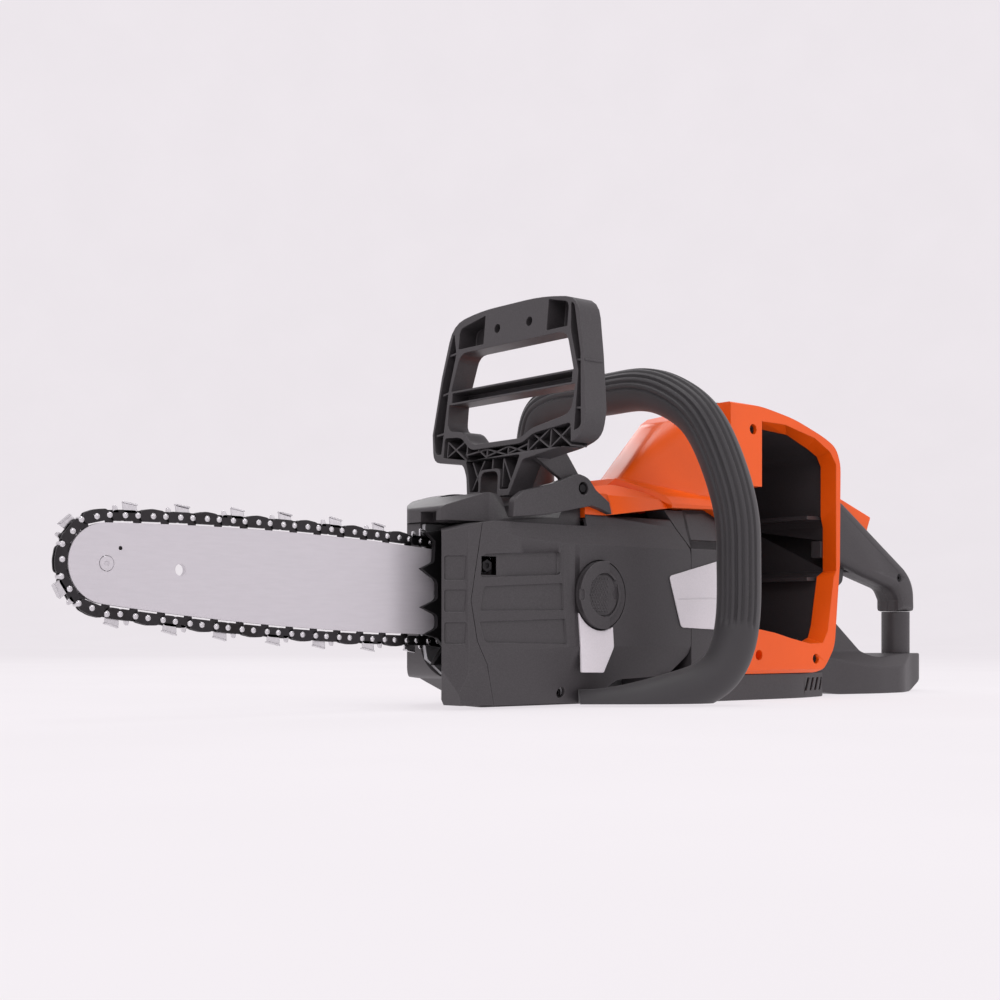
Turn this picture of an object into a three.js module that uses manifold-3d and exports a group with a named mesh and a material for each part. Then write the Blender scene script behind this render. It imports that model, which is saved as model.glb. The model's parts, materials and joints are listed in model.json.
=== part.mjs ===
// Battery chainsaw with a side-loading battery bay, as an assembly of separate pieces.
// Millimetres, +Z up. The origin is on the ground in the bar's plane, below the axis of
// the drive sprocket. The bar points along -X, the rear handle along +X, the sprocket cover along -Y.
import * as THREE from 'three';
import { mergeVertices } from 'three/addons/utils/BufferGeometryUtils.js';
import Module from 'manifold-3d';

const wasm = await Module();
wasm.setup();

// ---------------------------------------------------------------- driving dimensions
const GAP = 0.3; // kept between pieces that touch
const WALL = 3; // moulded shell thickness
const degrees = THREE.MathUtils.degToRad;

const SPROCKET_Z = 78; // drive sprocket's axis, along Y
const BAR_TILT = degrees(3); // the bar's nose stands this much higher than its tail
const BAR_HALF_THICKNESS = 2;
const CHAIN_HALF_WIDTH = 3.1;
const DRIVE_TEETH = 6;
const NOSE_TEETH = 9;

const PIVOT = { x: 15, z: 159 }; // hand guard's hinge line, along Y
const KNOB = { x: 31, z: 81.5, radius: 25 };
const OIL_CAP = { x: -14, z: 28 };

// Planes that the casing pieces are cut at.
const COVER_NEAR_Y = -48;
const COVER_FAR_Y = -9;
const PLATE_Y = [4.3, 8];
const FAR_SIDE_Y = 70;
const DECK_Z = 132.3;
const BODY_SPLIT_X = 127; // drive cover to rear side panel
const REAR_SPLIT_X = 172; // motor part to battery part
const REAR_WALL_X = 321;
const SILL_TOP_Z = 21;
const HANDLE_Y = 12; // middle plane of the rear handle

// ---------------------------------------------------------------- materials
function finish(color, roughness, metalness = 0) {
  return new THREE.MeshStandardMaterial({ color, roughness, metalness });
}
const MATERIALS = {
  dark: finish(0x454244, 0.62),
  orange: finish(0xf05514, 0.34),
  light: finish(0xdcd7dc, 0.45),
  rubber: finish(0x2b2a2b, 0.8),
  steel: finish(0xc9c6cb, 0.35, 0.9),
  darkSteel: finish(0x3a393b, 0.45, 0.8),
  aluminium: finish(0xb4b4b6, 0.5, 0.8),
  copper: finish(0xb5713a, 0.4, 0.9),
  board: finish(0x1f5a34, 0.55),
};

// ---------------------------------------------------------------- solids
/** Turns a closed three.js geometry into a solid for cutting and joining. */
function solid(geometry) {
  const bare = geometry.clone();
  bare.deleteAttribute('normal');
  bare.deleteAttribute('uv');
  const merged = mergeVertices(bare, 1e-4);
  return new wasm.Manifold(new wasm.Mesh({
    numProp: 3,
    vertProperties: new Float32Array(merged.attributes.position.array),
    triVerts: new Uint32Array(merged.index.array),
  }));
}

/** Turns a solid back into a three.js geometry. */
function geometryOf(body) {
  const raw = body.getMesh();
  const geometry = new THREE.BufferGeometry();
  geometry.setAttribute('position', new THREE.BufferAttribute(new Float32Array(raw.vertProperties), 3));
  geometry.setIndex(Array.from(raw.triVerts));
  geometry.computeVertexNormals();
  return geometry;
}

/** Closed outline through corners [a, b, cut]; a cut rounds the corner over that length. */
function outline(corners, Kind = THREE.Shape) {
  const path = new Kind();
  const at = (i) => new THREE.Vector2(...corners[(i + corners.length) % corners.length].slice(0, 2));
  corners.forEach(([, , wanted = 0], i) => {
    const here = at(i);
    const back = at(i - 1).sub(here);
    const ahead = at(i + 1).sub(here);
    const cut = Math.min(wanted, back.length() * 0.49, ahead.length() * 0.49);
    const enter = here.clone().add(back.setLength(cut));
    const leave = here.clone().add(ahead.setLength(cut));
    if (i === 0) path.moveTo(enter.x, enter.y);
    else path.lineTo(enter.x, enter.y);
    if (cut > 0) path.quadraticCurveTo(here.x, here.y, leave.x, leave.y);
  });
  path.closePath();
  return path;
}

/** Moves each side of a counter-clockwise corner list inwards; corner cuts shrink with it. */
function inset(corners, distance) {
  const count = corners.length;
  const sideLine = (i) => {
    const [a0, b0] = corners[(i + count) % count];
    const [a1, b1] = corners[(i + 1) % count];
    const along = new THREE.Vector2(a1 - a0, b1 - b0).normalize();
    const start = new THREE.Vector2(a0 - along.y * distance, b0 + along.x * distance);
    return { start, along };
  };
  return corners.map(([, , cut = 0], i) => {
    const before = sideLine(i - 1);
    const after = sideLine(i);
    const offset = after.start.clone().sub(before.start);
    const run = offset.cross(after.along) / before.along.cross(after.along);
    const corner = before.start.clone().addScaledVector(before.along, run);
    return [corner.x, corner.y, Math.max(0, cut - distance / 2)];
  });
}

function extrude(shape, depth, curveSegments) {
  return new THREE.ExtrudeGeometry(shape, { depth, bevelEnabled: false, curveSegments });
}

/** Solid with an (x, z) outline, from yNear to yFar. */
function sideSolid(shape, yNear, yFar, curveSegments = 4) {
  const geometry = extrude(shape, yFar - yNear, curveSegments);
  geometry.rotateX(Math.PI / 2).translate(0, yFar, 0);
  return solid(geometry);
}

/** Solid with a (y, z) outline, from x0 to x1. */
function frontSolid(shape, x0, x1, curveSegments = 4) {
  const geometry = extrude(shape, x1 - x0, curveSegments);
  geometry.applyMatrix4(new THREE.Matrix4().set(0, 0, 1, x0, 1, 0, 0, 0, 0, 1, 0, 0, 0, 0, 0, 1));
  return solid(geometry);
}

/** Solid with an (x, y) outline, from z0 to z1. */
function planSolid(shape, z0, z1, curveSegments = 4) {
  return solid(extrude(shape, z1 - z0, curveSegments).translate(0, 0, z0));
}

function boxSolid([x0, x1], [y0, y1], [z0, z1]) {
  const box = new THREE.BoxGeometry(x1 - x0, y1 - y0, z1 - z0);
  return solid(box.translate((x0 + x1) / 2, (y0 + y1) / 2, (z0 + z1) / 2));
}

/** Round bar along Y. */
function rodY(x, z, radius, yNear, yFar, segments = 20) {
  const rod = new THREE.CylinderGeometry(radius, radius, yFar - yNear, segments);
  return solid(rod.translate(x, (yNear + yFar) / 2, z));
}

/** Round bar along X. */
function rodX(y, z, radius, x0, x1, segments = 16) {
  const rod = new THREE.CylinderGeometry(radius, radius, x1 - x0, segments);
  return solid(rod.rotateZ(Math.PI / 2).translate((x0 + x1) / 2, y, z));
}

/** Round bar along Z. */
function rodZ(x, y, radius, z0, z1, segments = 16) {
  const rod = new THREE.CylinderGeometry(radius, radius, z1 - z0, segments);
  return solid(rod.rotateX(Math.PI / 2).translate(x, y, (z0 + z1) / 2));
}

const group = new THREE.Group();

/** Adds one named piece to the saw, or to a part of it. */
function add(name, body, material, parent = group) {
  const mesh = new THREE.Mesh(geometryOf(body), material);
  mesh.name = name;
  parent.add(mesh);
}

// ---------------------------------------------------------------- bar and chain
// Bar dimensions run along -X from the sprocket's axis, in the tilted bar's own frame.
const RIVET_CREST = 36.1; // rivet line's half-height at its widest
const CREST_S = 169; // where that is
const RAIL_CURVE = 0.000227; // how fast the rails close from there
const TAIL_S = 50; // where the chain leaves the bar for the sprocket
const NOSE_S = 341; // where the rails meet the nose arc
const PITCH_RADIUS = 18.2; // of the drive sprocket
const RAIL_INSET = 4.6; // rivet line to bar rail

/** Rivet line's half-height at distance s from the sprocket. */
function rivetHeight(s) {
  return RIVET_CREST - RAIL_CURVE * (s - CREST_S) ** 2;
}
function rivetSlope(s) {
  return -2 * RAIL_CURVE * (s - CREST_S);
}
const NOSE_CENTRE_S = NOSE_S + rivetSlope(NOSE_S) * rivetHeight(NOSE_S);
const NOSE_RADIUS = rivetHeight(NOSE_S) * Math.hypot(1, rivetSlope(NOSE_S));

/** Control point that makes a quadratic curve follow the rail between two stations. */
function railControl(s0, s1, offset, side) {
  const height = rivetHeight(s0) + (rivetSlope(s0) * (s1 - s0)) / 2 + offset;
  return [-(s0 + s1) / 2, side * height];
}

/** Rail curve from the tail over the nose and back, at an offset from the rivet line. */
function railRun(path, s0, offset) {
  const lean = Math.atan(-rivetSlope(NOSE_S));
  const noseTop = rivetHeight(NOSE_S) + offset;
  path.moveTo(-s0, rivetHeight(s0) + offset);
  path.quadraticCurveTo(...railControl(s0, NOSE_S, offset, 1), -NOSE_S, noseTop);
  path.absarc(-NOSE_CENTRE_S, 0, NOSE_RADIUS + offset, Math.PI / 2 + lean, -Math.PI / 2 - lean, false);
  path.quadraticCurveTo(...railControl(s0, NOSE_S, offset, -1), -s0, -rivetHeight(s0) - offset);
}

/** Closed loop round bar and sprocket at an offset from the rivet line. */
function chainLoop(offset, Kind = THREE.Shape) {
  const loop = new Kind();
  railRun(loop, TAIL_S, offset);
  const radius = PITCH_RADIUS + offset;
  const height = rivetHeight(TAIL_S) + offset;
  const touch = Math.atan2(height, TAIL_S) + Math.acos(radius / Math.hypot(TAIL_S, height));
  loop.absarc(0, 0, radius, Math.PI + touch, Math.PI * 3 - touch, false);
  loop.closePath();
  return loop;
}

const barGroup = new THREE.Group();
barGroup.position.z = SPROCKET_Z;
barGroup.rotation.y = BAR_TILT;
group.add(barGroup);

function guideBar() {
  const tailEnd = 36;
  const shoulder = 62;
  const shape = new THREE.Shape();
  railRun(shape, shoulder, -RAIL_INSET);
  shape.lineTo(-tailEnd, -21);
  shape.lineTo(-tailEnd, 21);
  shape.closePath();
  const studSlot = outline([[-88, -4.2, 4], [-46, -4.2, 4], [-46, 4.2, 4], [-88, 4.2, 4]]);
  const lighteningHole = rodY(-288.6, 0, 3.8, -5, 5);
  const greaseHole = rodY(-330, 10, 1.4, -5, 5, 8);
  const tensionHole = rodY(-74, 13, 3.4, -5, 5, 12);
  const noseSlot = rodY(-NOSE_CENTRE_S, 0, NOSE_RADIUS, -0.8, 0.8, 28);
  const rivetHole = rodY(-NOSE_CENTRE_S, 0, 4.9, -5, 5);
  const body = sideSolid(shape, -BAR_HALF_THICKNESS, BAR_HALF_THICKNESS, 14)
    .subtract(sideSolid(studSlot, -5, 5));
  add('guide_bar', [lighteningHole, greaseHole, tensionHole, noseSlot, rivetHole]
    .reduce((bar, hole) => bar.subtract(hole), body), MATERIALS.steel, barGroup);
}

/** Toothed disc about a Y axis. */
function toothedDisc(x, z, teeth, tipRadius, rootRadius, yNear, yFar) {
  const shape = new THREE.Shape();
  for (let i = 0; i < teeth * 4; i += 1) {
    const angle = (i / (teeth * 4)) * 2 * Math.PI;
    const radius = i % 4 < 2 ? tipRadius : rootRadius;
    const point = [x + radius * Math.cos(angle), z + radius * Math.sin(angle)];
    if (i === 0) shape.moveTo(...point);
    else shape.lineTo(...point);
  }
  shape.closePath();
  return sideSolid(shape, yNear, yFar);
}

function noseParts() {
  const x = -NOSE_CENTRE_S;
  const wheel = toothedDisc(x, 0, NOSE_TEETH, 24.2, 20.5, -0.6, 0.6);
  add('nose_sprocket', wheel.subtract(rodY(x, 0, 5, -5, 5, 24)), MATERIALS.darkSteel, barGroup);
  add('nose_rivet', rodY(x, 0, 4.6, -2.3, 2.3), MATERIALS.steel, barGroup);
}

/** The whole chain as one closed band, with a block for each cutter. */
function sawChain() {
  const bandHalfHeight = 3.5;
  const cutterTop = 9;
  const cutterCount = 22;
  const shape = chainLoop(bandHalfHeight);
  shape.holes.push(chainLoop(-bandHalfHeight, THREE.Path));
  let chain = sideSolid(shape, -CHAIN_HALF_WIDTH, CHAIN_HALF_WIDTH, 14);
  const middle = chainLoop(0);
  for (let i = 0; i < cutterCount; i += 1) {
    const along = (i + 0.5) / cutterCount;
    const centre = middle.getPointAt(along);
    const tangent = middle.getTangentAt(along);
    const cutter = new THREE.BoxGeometry(13, 3.2, cutterTop);
    cutter.translate(0, i % 2 === 0 ? -2 : 2, -cutterTop / 2);
    cutter.rotateY(-Math.atan2(tangent.y, tangent.x));
    cutter.translate(centre.x, 0, centre.y);
    chain = chain.add(solid(cutter));
  }
  add('saw_chain', chain, MATERIALS.darkSteel, barGroup);
}

function barFixings() {
  for (const [name, x] of [['bar_stud_front', -74], ['bar_stud_rear', -50]]) {
    add(name, rodY(x, SPROCKET_Z - x * Math.tan(BAR_TILT), 3.8, -26, BAR_HALF_THICKNESS), MATERIALS.steel);
  }
  const bumper = outline([
    [-96, 34], [-88, 44], [-94, 50, 1], [-105, 52.5], [-94, 57, 3], [-94, 66, 3], [-107.5, 71.5],
    [-94, 77, 3], [-94, 90, 3], [-108, 98.5], [-97, 103, 2], [-96, 118], [-104, 124],
    [-79.5, 127], [-87.5, 76], [-82.5, 48], [-77, 31], [-98, 31],
  ].reverse());
  add('bumper_spikes', sideSolid(bumper, -14, -10.2), MATERIALS.darkSteel);
}

guideBar();
noseParts();
sawChain();
barFixings();

// ---------------------------------------------------------------- casing
/** Opens a hollow: pushes its corners that lie beyond a limit further out. */
function openTo(corners, limit, reach, axis = 0) {
  return corners.map((corner) => corner.map((value, i) => (i === axis && value > limit ? reach : value)));
}

/** Top edge that the drive cover and both side shells share, below the orange covers. */
const TOP_EDGE = [[REAR_SPLIT_X - GAP, 141], [152, 150], [106, 148.5], [44, 140.5], [22.4, 138]];

/** Front view of the drive cover: a flat face that leans in above and below. */
const COVER_SECTION = [
  [-34, 2.5], [COVER_FAR_Y, 2.5], [COVER_FAR_Y, 149], [-38, 149], [-42, 134], [COVER_NEAR_Y, 118],
  [COVER_NEAR_Y, 44],
];

/** The drive cover's block, or at a depth below its skin the hollow in it, open towards the bar. */
function coverShell(side, plan, depth) {
  const reach = depth > 0 ? 0 : COVER_FAR_Y;
  const limit = COVER_FAR_Y - WALL - 1;
  return sideSolid(outline(inset(side, depth)), -60, 5)
    .intersect(planSolid(outline(openTo(inset(plan, depth), limit, reach, 1)), 0, 160))
    .intersect(frontSolid(outline(openTo(inset(COVER_SECTION, depth), limit, reach)), -120, 140));
}

function driveCover() {
  const side = [
    [BODY_SPLIT_X - GAP, 118, 6], TOP_EDGE[2], TOP_EDGE[3], [24, 146], [-20, 137.5], [-52, 134.5],
    [-77, 130], [-86, 76], [-81, 48], [-59, 2.5], [30, 2.5, 4], [56, 19, 6], [108, 21, 6],
    [BODY_SPLIT_X - GAP, 38, 4],
  ];
  const plan = [
    [-90, COVER_FAR_Y], [-90, -41.5], [-50, -47, 8], [0, COVER_NEAR_Y, 10],
    [BODY_SPLIT_X, COVER_NEAR_Y], [BODY_SPLIT_X, COVER_FAR_Y],
  ];
  const cuts = [
    coverShell(side, plan, WALL),
    boxSolid([-110, 22.4], [-43.4, 0], [DECK_Z - GAP, 170]), // room for the deck and guard arm
    boxSolid([22, BODY_SPLIT_X], [-40.2, 0], [137.7, 170]), // room for the front top cover
    rodY(KNOB.x, KNOB.z, KNOB.radius + 0.8, -60, COVER_NEAR_Y + 2.4, 36),
    rodY(KNOB.x, KNOB.z, 5, -60, 0),
    boxSolid([-78, -64], [-60, -30], [94, 107]), // window over the chain tensioner
    sideSolid(outline(inset(TONGUE, -0.5)), -60, COVER_NEAR_Y + 1),
    rodY(1.5, 10.5, 4, -60, -30, 14),
    boxSolid([-80, 26], [-15, 0], [2, 6]), // slot that lets chips fall out
  ];
  add('drive_cover', cuts.reduce((cover, cut) => cover.subtract(cut), coverShell(side, plan, 0)),
    MATERIALS.dark);
}

/** Light tongue below the knob, set in the cover's face. */
const TONGUE = [[10.5, 43], [11, 25, 1], [33, 24.5, 1], [43.5, 43, 2], [42.5, 57], [41, 72], [8, 72]];

function coverTrim() {
  const tongue = sideSolid(outline(TONGUE), COVER_NEAR_Y - 1.2, COVER_NEAR_Y + 0.7)
    .subtract(rodY(KNOB.x, KNOB.z, KNOB.radius + 1.2, -60, 0, 36));
  add('cover_tongue', tongue, MATERIALS.light);
  const label = [[102, 97, 3], [115, 58, 3], [165, 56, 1], [165, 112, 1]];
  add('label_plate', sideSolid(outline(label), COVER_NEAR_Y - 1.2, COVER_NEAR_Y - GAP), MATERIALS.light);
}

/** Front band of the cover, turned in towards the bar. */
function coverFrontBand() {
  const side = [
    [-77.5, 130.5], [-101, 124], [-107, 100], [-108, 60], [-105, 34], [-89, 3], [-59.6, 3],
    [-81.6, 48], [-86.6, 76],
  ];
  const plan = [[-91, -14.5], [-102, -29], [-88, -41.8], [-50, -47.2], [-50, -14.5]];
  add('cover_front_band', sideSolid(outline(side), -60, -5)
    .intersect(planSolid(outline(plan), 0, 160))
    .intersect(frontSolid(outline(COVER_SECTION), -120, -40))
    .subtract(sideSolid(outline(inset(side, 2.4)), -27, -5)), MATERIALS.dark);
}

/** Plate in the middle of the saw that carries bar, motor and casing. */
function chassisPlate() {
  const side = [
    [103.4, 6.3], [103.4, 21.3], [BODY_SPLIT_X - GAP, 21.3], [BODY_SPLIT_X - GAP, 131], [-91, 131],
    [-94, 60], [-89, 35], [-75, 24], [-57, 22], [-39, 6.3],
  ];
  const pad = boxSolid([-93, -40], [BAR_HALF_THICKNESS + GAP, PLATE_Y[0] + 1], [70, 94]);
  const shaftHole = rodY(0, SPROCKET_Z, 7, 0, 12);
  add('chassis_plate', sideSolid(outline(side), ...PLATE_Y).add(pad).subtract(shaftHole),
    MATERIALS.aluminium);
}

function farHousing() {
  const near = PLATE_Y[1] + GAP;
  const side = [
    [103.7, 6.3], [103.7, 21.3], [REAR_SPLIT_X - GAP, 21.3], ...TOP_EDGE, [22.4, 131.7], [-92, 131.7],
    [-95, 60, 8], [-90, 34, 8], [-76, 22, 8], [-48, 19.5], [-26, 6.3],
  ];
  const plan = [
    [-95, near], [REAR_SPLIT_X, near], [REAR_SPLIT_X, FAR_SIDE_Y], [-44, FAR_SIDE_Y, 8],
    [-62, 61, 8], [-82, 38, 8], [-95, 20, 6],
  ];
  const section = [[near, 6], [58, 6, 4], [FAR_SIDE_Y, 22, 8], [FAR_SIDE_Y, 126, 8], [60, 152, 4], [near, 152]];
  const shell = (depth) => {
    const open = depth > 0 ? 0 : near;
    const outward = (corners, axis) => corners
      .map((corner) => corner.map((value, i) => (i === axis && value < near + WALL + 1 ? open : value)));
    return sideSolid(outline(inset(side, depth)), 0, FAR_SIDE_Y + 5)
      .intersect(planSolid(outline(outward(inset(plan, depth), 1)), 0, 160))
      .intersect(frontSolid(outline(outward(inset(section, depth), 0)), -110, REAR_SPLIT_X + 10));
  };
  let body = shell(0).subtract(shell(WALL));
  body = body.subtract(rodY(OIL_CAP.x, OIL_CAP.z, 10.5, 60, 80));
  for (let i = 0; i < 6; i += 1) {
    const x = 20 + i * 11;
    body = body.subtract(boxSolid([x, x + 5], [60, 80], [62, 96]));
  }
  add('far_housing', body, MATERIALS.dark);
}

function rearSidePanel() {
  const far = PLATE_Y[1];
  const side = [
    [BODY_SPLIT_X + GAP, 21.3], [REAR_SPLIT_X - GAP, 21.3], TOP_EDGE[0], TOP_EDGE[1],
    [BODY_SPLIT_X + GAP, 149.2],
  ];
  const hollow = sideSolid(outline(inset(side, WALL)), COVER_NEAR_Y + WALL, far + 5);
  add('rear_side_panel', sideSolid(outline(side), COVER_NEAR_Y, far).subtract(hollow), MATERIALS.dark);
}

/** Deck over the bar's root, with the pocket that the hand guard's legs swing into. */
function frontDeck() {
  const near = -35.4;
  const pocketSide = [
    [-96, DECK_Z], [22, DECK_Z], [22, 157], [8, 151], [1, 137.5], [-47, 135.6], [-52, 151, 3],
    [-60, 153.5, 3], [-95, 142.5, 3],
  ];
  const fullSide = [[-96, DECK_Z], [22, DECK_Z], [22, 158], [-45, 157, 8], [-95, 142.5, 3]];
  const plan = [
    [-95, -22, 3], [-60, -29], [-46, near], [22, near], [22, 64], [-46, 64, 6], [-62, 58, 6],
    [-82, 38, 6], [-95, 20, 4],
  ];
  const pocketPart = sideSolid(outline(pocketSide), -60, 34);
  const fullPart = sideSolid(outline(fullSide), 34, 80).intersect(
    frontSolid(outline([[30, 130], [64, 130], [64, 146, 6], [50, 158, 4], [30, 158]]), -110, 30),
  );
  const hollow = sideSolid(outline(inset([[-96, 120], [22, 120], [22, 135], [-96, 135]], WALL)), -50, 80)
    .intersect(planSolid(outline(inset(plan, WALL)), 100, 160));
  const armSlot = boxSolid([-40, 24], [36, 43.5], [139, 170]);
  const frontWindow = boxSolid([-100, -84], [-14, 4], [DECK_Z - 1, 139.5]);
  add('front_deck', [hollow, armSlot, frontWindow].reduce((deck, cut) => deck.subtract(cut),
    pocketPart.add(fullPart).intersect(planSolid(outline(plan), 100, 170))), MATERIALS.dark);
}

/** Raised ear on the near side that carries the hand guard's pivot pin. */
function brakeHousing() {
  const side = [
    [-20, 138.2], [24, 146.7], [33, 144.5], [43.6, 141.2], [41, 150], [28, 158], [20, 167, 4],
    [10, 169.5, 3], [-14, 161], [-42, 154], [-51, 148, 3], [-52, 135.2],
  ];
  const ear = sideSolid(outline(side), -47, -40.4).subtract(rodY(PIVOT.x, PIVOT.z, 4.6, -50, -30, 24));
  add('brake_housing', ear, MATERIALS.dark);
}

/** Orange nose between the brake housing and the motor cover. */
function frontTopCover() {
  const side = [
    [22.7, 138.6], [44.1, 141.1], [106, 149.1], [107, 151, 1], [88, 161, 5], [60, 165.5, 5], [22.7, 161],
  ];
  const plan = [[22.7, -39.9], [44, -39.9], [47, -45], [108, -46], [108, 60], [22.7, 60]];
  const section = [[-46, 138], [60, 138], [60, 160], [50, 166], [-30, 166], [-41, 156]];
  const hollowSide = [[27, 130], [97, 130], [97, 153], [86, 158], [60, 162.5], [27, 158]];
  const shaped = (sideCorners, depth) => sideSolid(outline(sideCorners), -60, 70)
    .intersect(planSolid(outline(inset(plan, depth)), 120, 170))
    .intersect(frontSolid(outline(inset(section, depth)), 10, 120));
  const openBelow = boxSolid([27, 97], [-30, 56], [120, 150]);
  const hollow = shaped(hollowSide, 2.5).add(openBelow);
  add('front_top_cover', shaped(side, 0).subtract(hollow), MATERIALS.orange);
}

/** Orange motor cover: a prow that leans back over a sloping skirt. */
function motorCover() {
  const lean = 0.95; // how far back the prow leans for its height
  const leanFrom = 167;
  const side = [
    [107.4, 149.5], [152, 150.5], [REAR_SPLIT_X - GAP, 141.5], [REAR_SPLIT_X - GAP, 234.5],
    [150, 227, 8], [122, 218, 10], [66, 165.3], [88.3, 161.4], [107.4, 151.4],
  ];
  const prowPlan = [[74, 5, 8], [74, -18, 6], [150, -40], [270, -47], [270, 60], [150, 60], [112, 42, 10]];
  const prowSection = [
    [-46, 141], [58, 141], [62, 160, 6], [57, 212, 8], [40, 226, 8], [0, 232, 8], [-24, 236, 8],
    [-38, 226, 8], [-46, 180, 4],
  ];
  const skirtPlan = [[64, 6], [64, -14], [107.4, -46.5], [REAR_SPLIT_X, -46.5], [REAR_SPLIT_X, 50], [96, 50]];
  const skirtSection = [[-46.5, 141], [50, 141], [50, 172], [-20, 172], [-43, 160, 6], [-46.5, 153]];
  const shear = new THREE.Matrix4().set(1, 0, lean, -lean * leanFrom, 0, 1, 0, 0, 0, 0, 1, 0, 0, 0, 0, 1);
  const leaning = (plan) => solid(extrude(outline(plan), 120, 4).translate(0, 0, 130).applyMatrix4(shear));
  const prow = (depth) => leaning(inset(prowPlan, depth))
    .intersect(frontSolid(outline(inset(prowSection, depth)), 30, 200));
  const skirt = planSolid(outline(skirtPlan), 130, 200)
    .intersect(frontSolid(outline(skirtSection), 30, 200));
  const blank = prow(0).add(skirt).intersect(sideSolid(outline(side), -60, 70));
  const hollow = prow(WALL).intersect(sideSolid(outline(inset(side, WALL)), -60, 70));
  const rearOpening = boxSolid([150, 180], [-32, 46], [160, 212]);
  const floorOpening = boxSolid([118, 164], [-24, 40], [130, 178]);
  add('motor_cover', blank.subtract(hollow).subtract(rearOpening).subtract(floorOpening),
    MATERIALS.orange);
}

driveCover();
coverTrim();
coverFrontBand();
chassisPlate();
farHousing();
rearSidePanel();
frontDeck();
brakeHousing();
frontTopCover();
motorCover();

// ---------------------------------------------------------------- base and battery part
function baseTray() {
  const plan = [[-50, -8.4, 4], [103.4, -8.4], [103.4, 60], [-8, 60, 10], [-44, 20, 8]];
  add('base_tray', planSolid(outline(plan), 0, 5.7), MATERIALS.dark);
}

function rearSill() {
  const plan = [
    [103.7, -44], [262, -44, 20], [312, -30, 12], [325, -6, 8], [325, 44, 8], [308, 62, 10], [103.7, 64],
  ];
  const hollow = planSolid(outline(inset(plan, WALL)), WALL, 30);
  add('rear_sill', planSolid(outline(plan), 0, SILL_TOP_Z - GAP).subtract(hollow), MATERIALS.dark);
}

/** Side outline of the dark shell round the battery bay. */
const REAR_OUTLINE = [
  [REAR_SPLIT_X, SILL_TOP_Z], [298, SILL_TOP_Z, 12], [316, 42, 8], [REAR_WALL_X, 115], [320.5, 180],
  [319, 206, 10], [307, 217, 12], [245, 234.5, 12], [200, 239, 10], [REAR_SPLIT_X, 237.5],
];
const FRAME_BACK_Y = -33;

/** Front view of the battery part: its top falls away towards the far side. */
const REAR_SECTION = [[-60, 10], [80, 10], [80, 196], [70, 207, 6], [56.3, 222, 6], [40, 228], [0, 235], [-60, 246]];

function rearPrism(side, depth, near, far) {
  return sideSolid(outline(side), near, far)
    .intersect(frontSolid(outline(inset(REAR_SECTION, depth)), 160, 340));
}

function rearShell() {
  const tube = rearPrism(REAR_OUTLINE, 0, FRAME_BACK_Y + GAP, 56);
  const inside = rearPrism(inset(REAR_OUTLINE, WALL), WALL, -56, 70);
  const motorSideOpening = boxSolid([160, 180], [-32, 52], [60, 200]);
  add('rear_shell', tube.subtract(inside).subtract(motorSideOpening), MATERIALS.dark);
}

/** Side outline of the battery bay, wider at half height where the battery's rails run. */
const BAY_OUTLINE = [
  [187, 42, 3], [291, 42, 4], [302.5, 101], [313, 105], [313.5, 145], [309, 154], [309, 207, 8],
  [292, 216, 8], [262, 225.5, 8], [212, 229, 4], [187, 229, 3],
];

function batteryTub() {
  const wall = 2.5;
  const clearOfShell = WALL + GAP;
  const tub = rearPrism(BAY_OUTLINE, clearOfShell, FRAME_BACK_Y + GAP, 54)
    .subtract(rearPrism(inset(BAY_OUTLINE, wall), clearOfShell + wall, -56, 54 - wall));
  const stop = boxSolid([303, 311], [-32.5, -22], [118, 132]);
  add('battery_tub', tub.add(stop), MATERIALS.dark);
  let contacts = boxSolid([218, 258], [43, 51.2], [84, 150]);
  for (let i = 0; i < 5; i += 1) {
    const z = 90 + i * 12;
    contacts = contacts.subtract(boxSolid([224, 252], [40, 47], [z, z + 6]));
  }
  add('battery_contacts', contacts, MATERIALS.darkSteel);
}

/** Corners of the bay's mouth in the frame's near face and, one for one, in its back face. */
const MOUTH_NEAR = [
  [195, 58.5], [225.5, 54], [245.5, 49.5], [270, 45], [286.5, 45.5], [293, 55.5], [301, 101],
  [304, 106], [304, 152], [304, 163], [304, 196], [296, 206], [276, 216], [238, 224],
  [209.5, 224.5], [209.5, 171.5], [195, 171.5],
];
const MOUTH_BACK = [
  [195, 58.5], [225.5, 54], [247, 49.5], [274, 46], [285, 50], [289, 60.5], [297, 101.5],
  [305, 106], [305, 143], [302, 152.5], [302, 195], [297, 203], [284, 209], [258, 218.5],
  [209.5, 221.5], [209.5, 171.5], [195, 171.5],
];

/** Solid between two (x, z) corner rings of the same count, at two depths. */
function loftSolid(nearRing, farRing, yNear, yFar) {
  const count = nearRing.length;
  const points = [...nearRing.map(([x, z]) => [x, yNear, z]), ...farRing.map(([x, z]) => [x, yFar, z])];
  const faces = [];
  const capOf = (ring) => THREE.ShapeUtils.triangulateShape(ring.map((p) => new THREE.Vector2(...p)), []);
  for (const [a, b, c] of capOf(nearRing)) faces.push(a, b, c);
  for (const [a, b, c] of capOf(farRing)) faces.push(a + count, c + count, b + count);
  for (let i = 0; i < count; i += 1) {
    const next = (i + 1) % count;
    faces.push(i, i + count, next, next, i + count, next + count);
  }
  const geometry = new THREE.BufferGeometry();
  geometry.setAttribute('position', new THREE.BufferAttribute(new Float32Array(points.flat()), 3));
  geometry.setIndex(faces);
  return solid(geometry);
}

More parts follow.
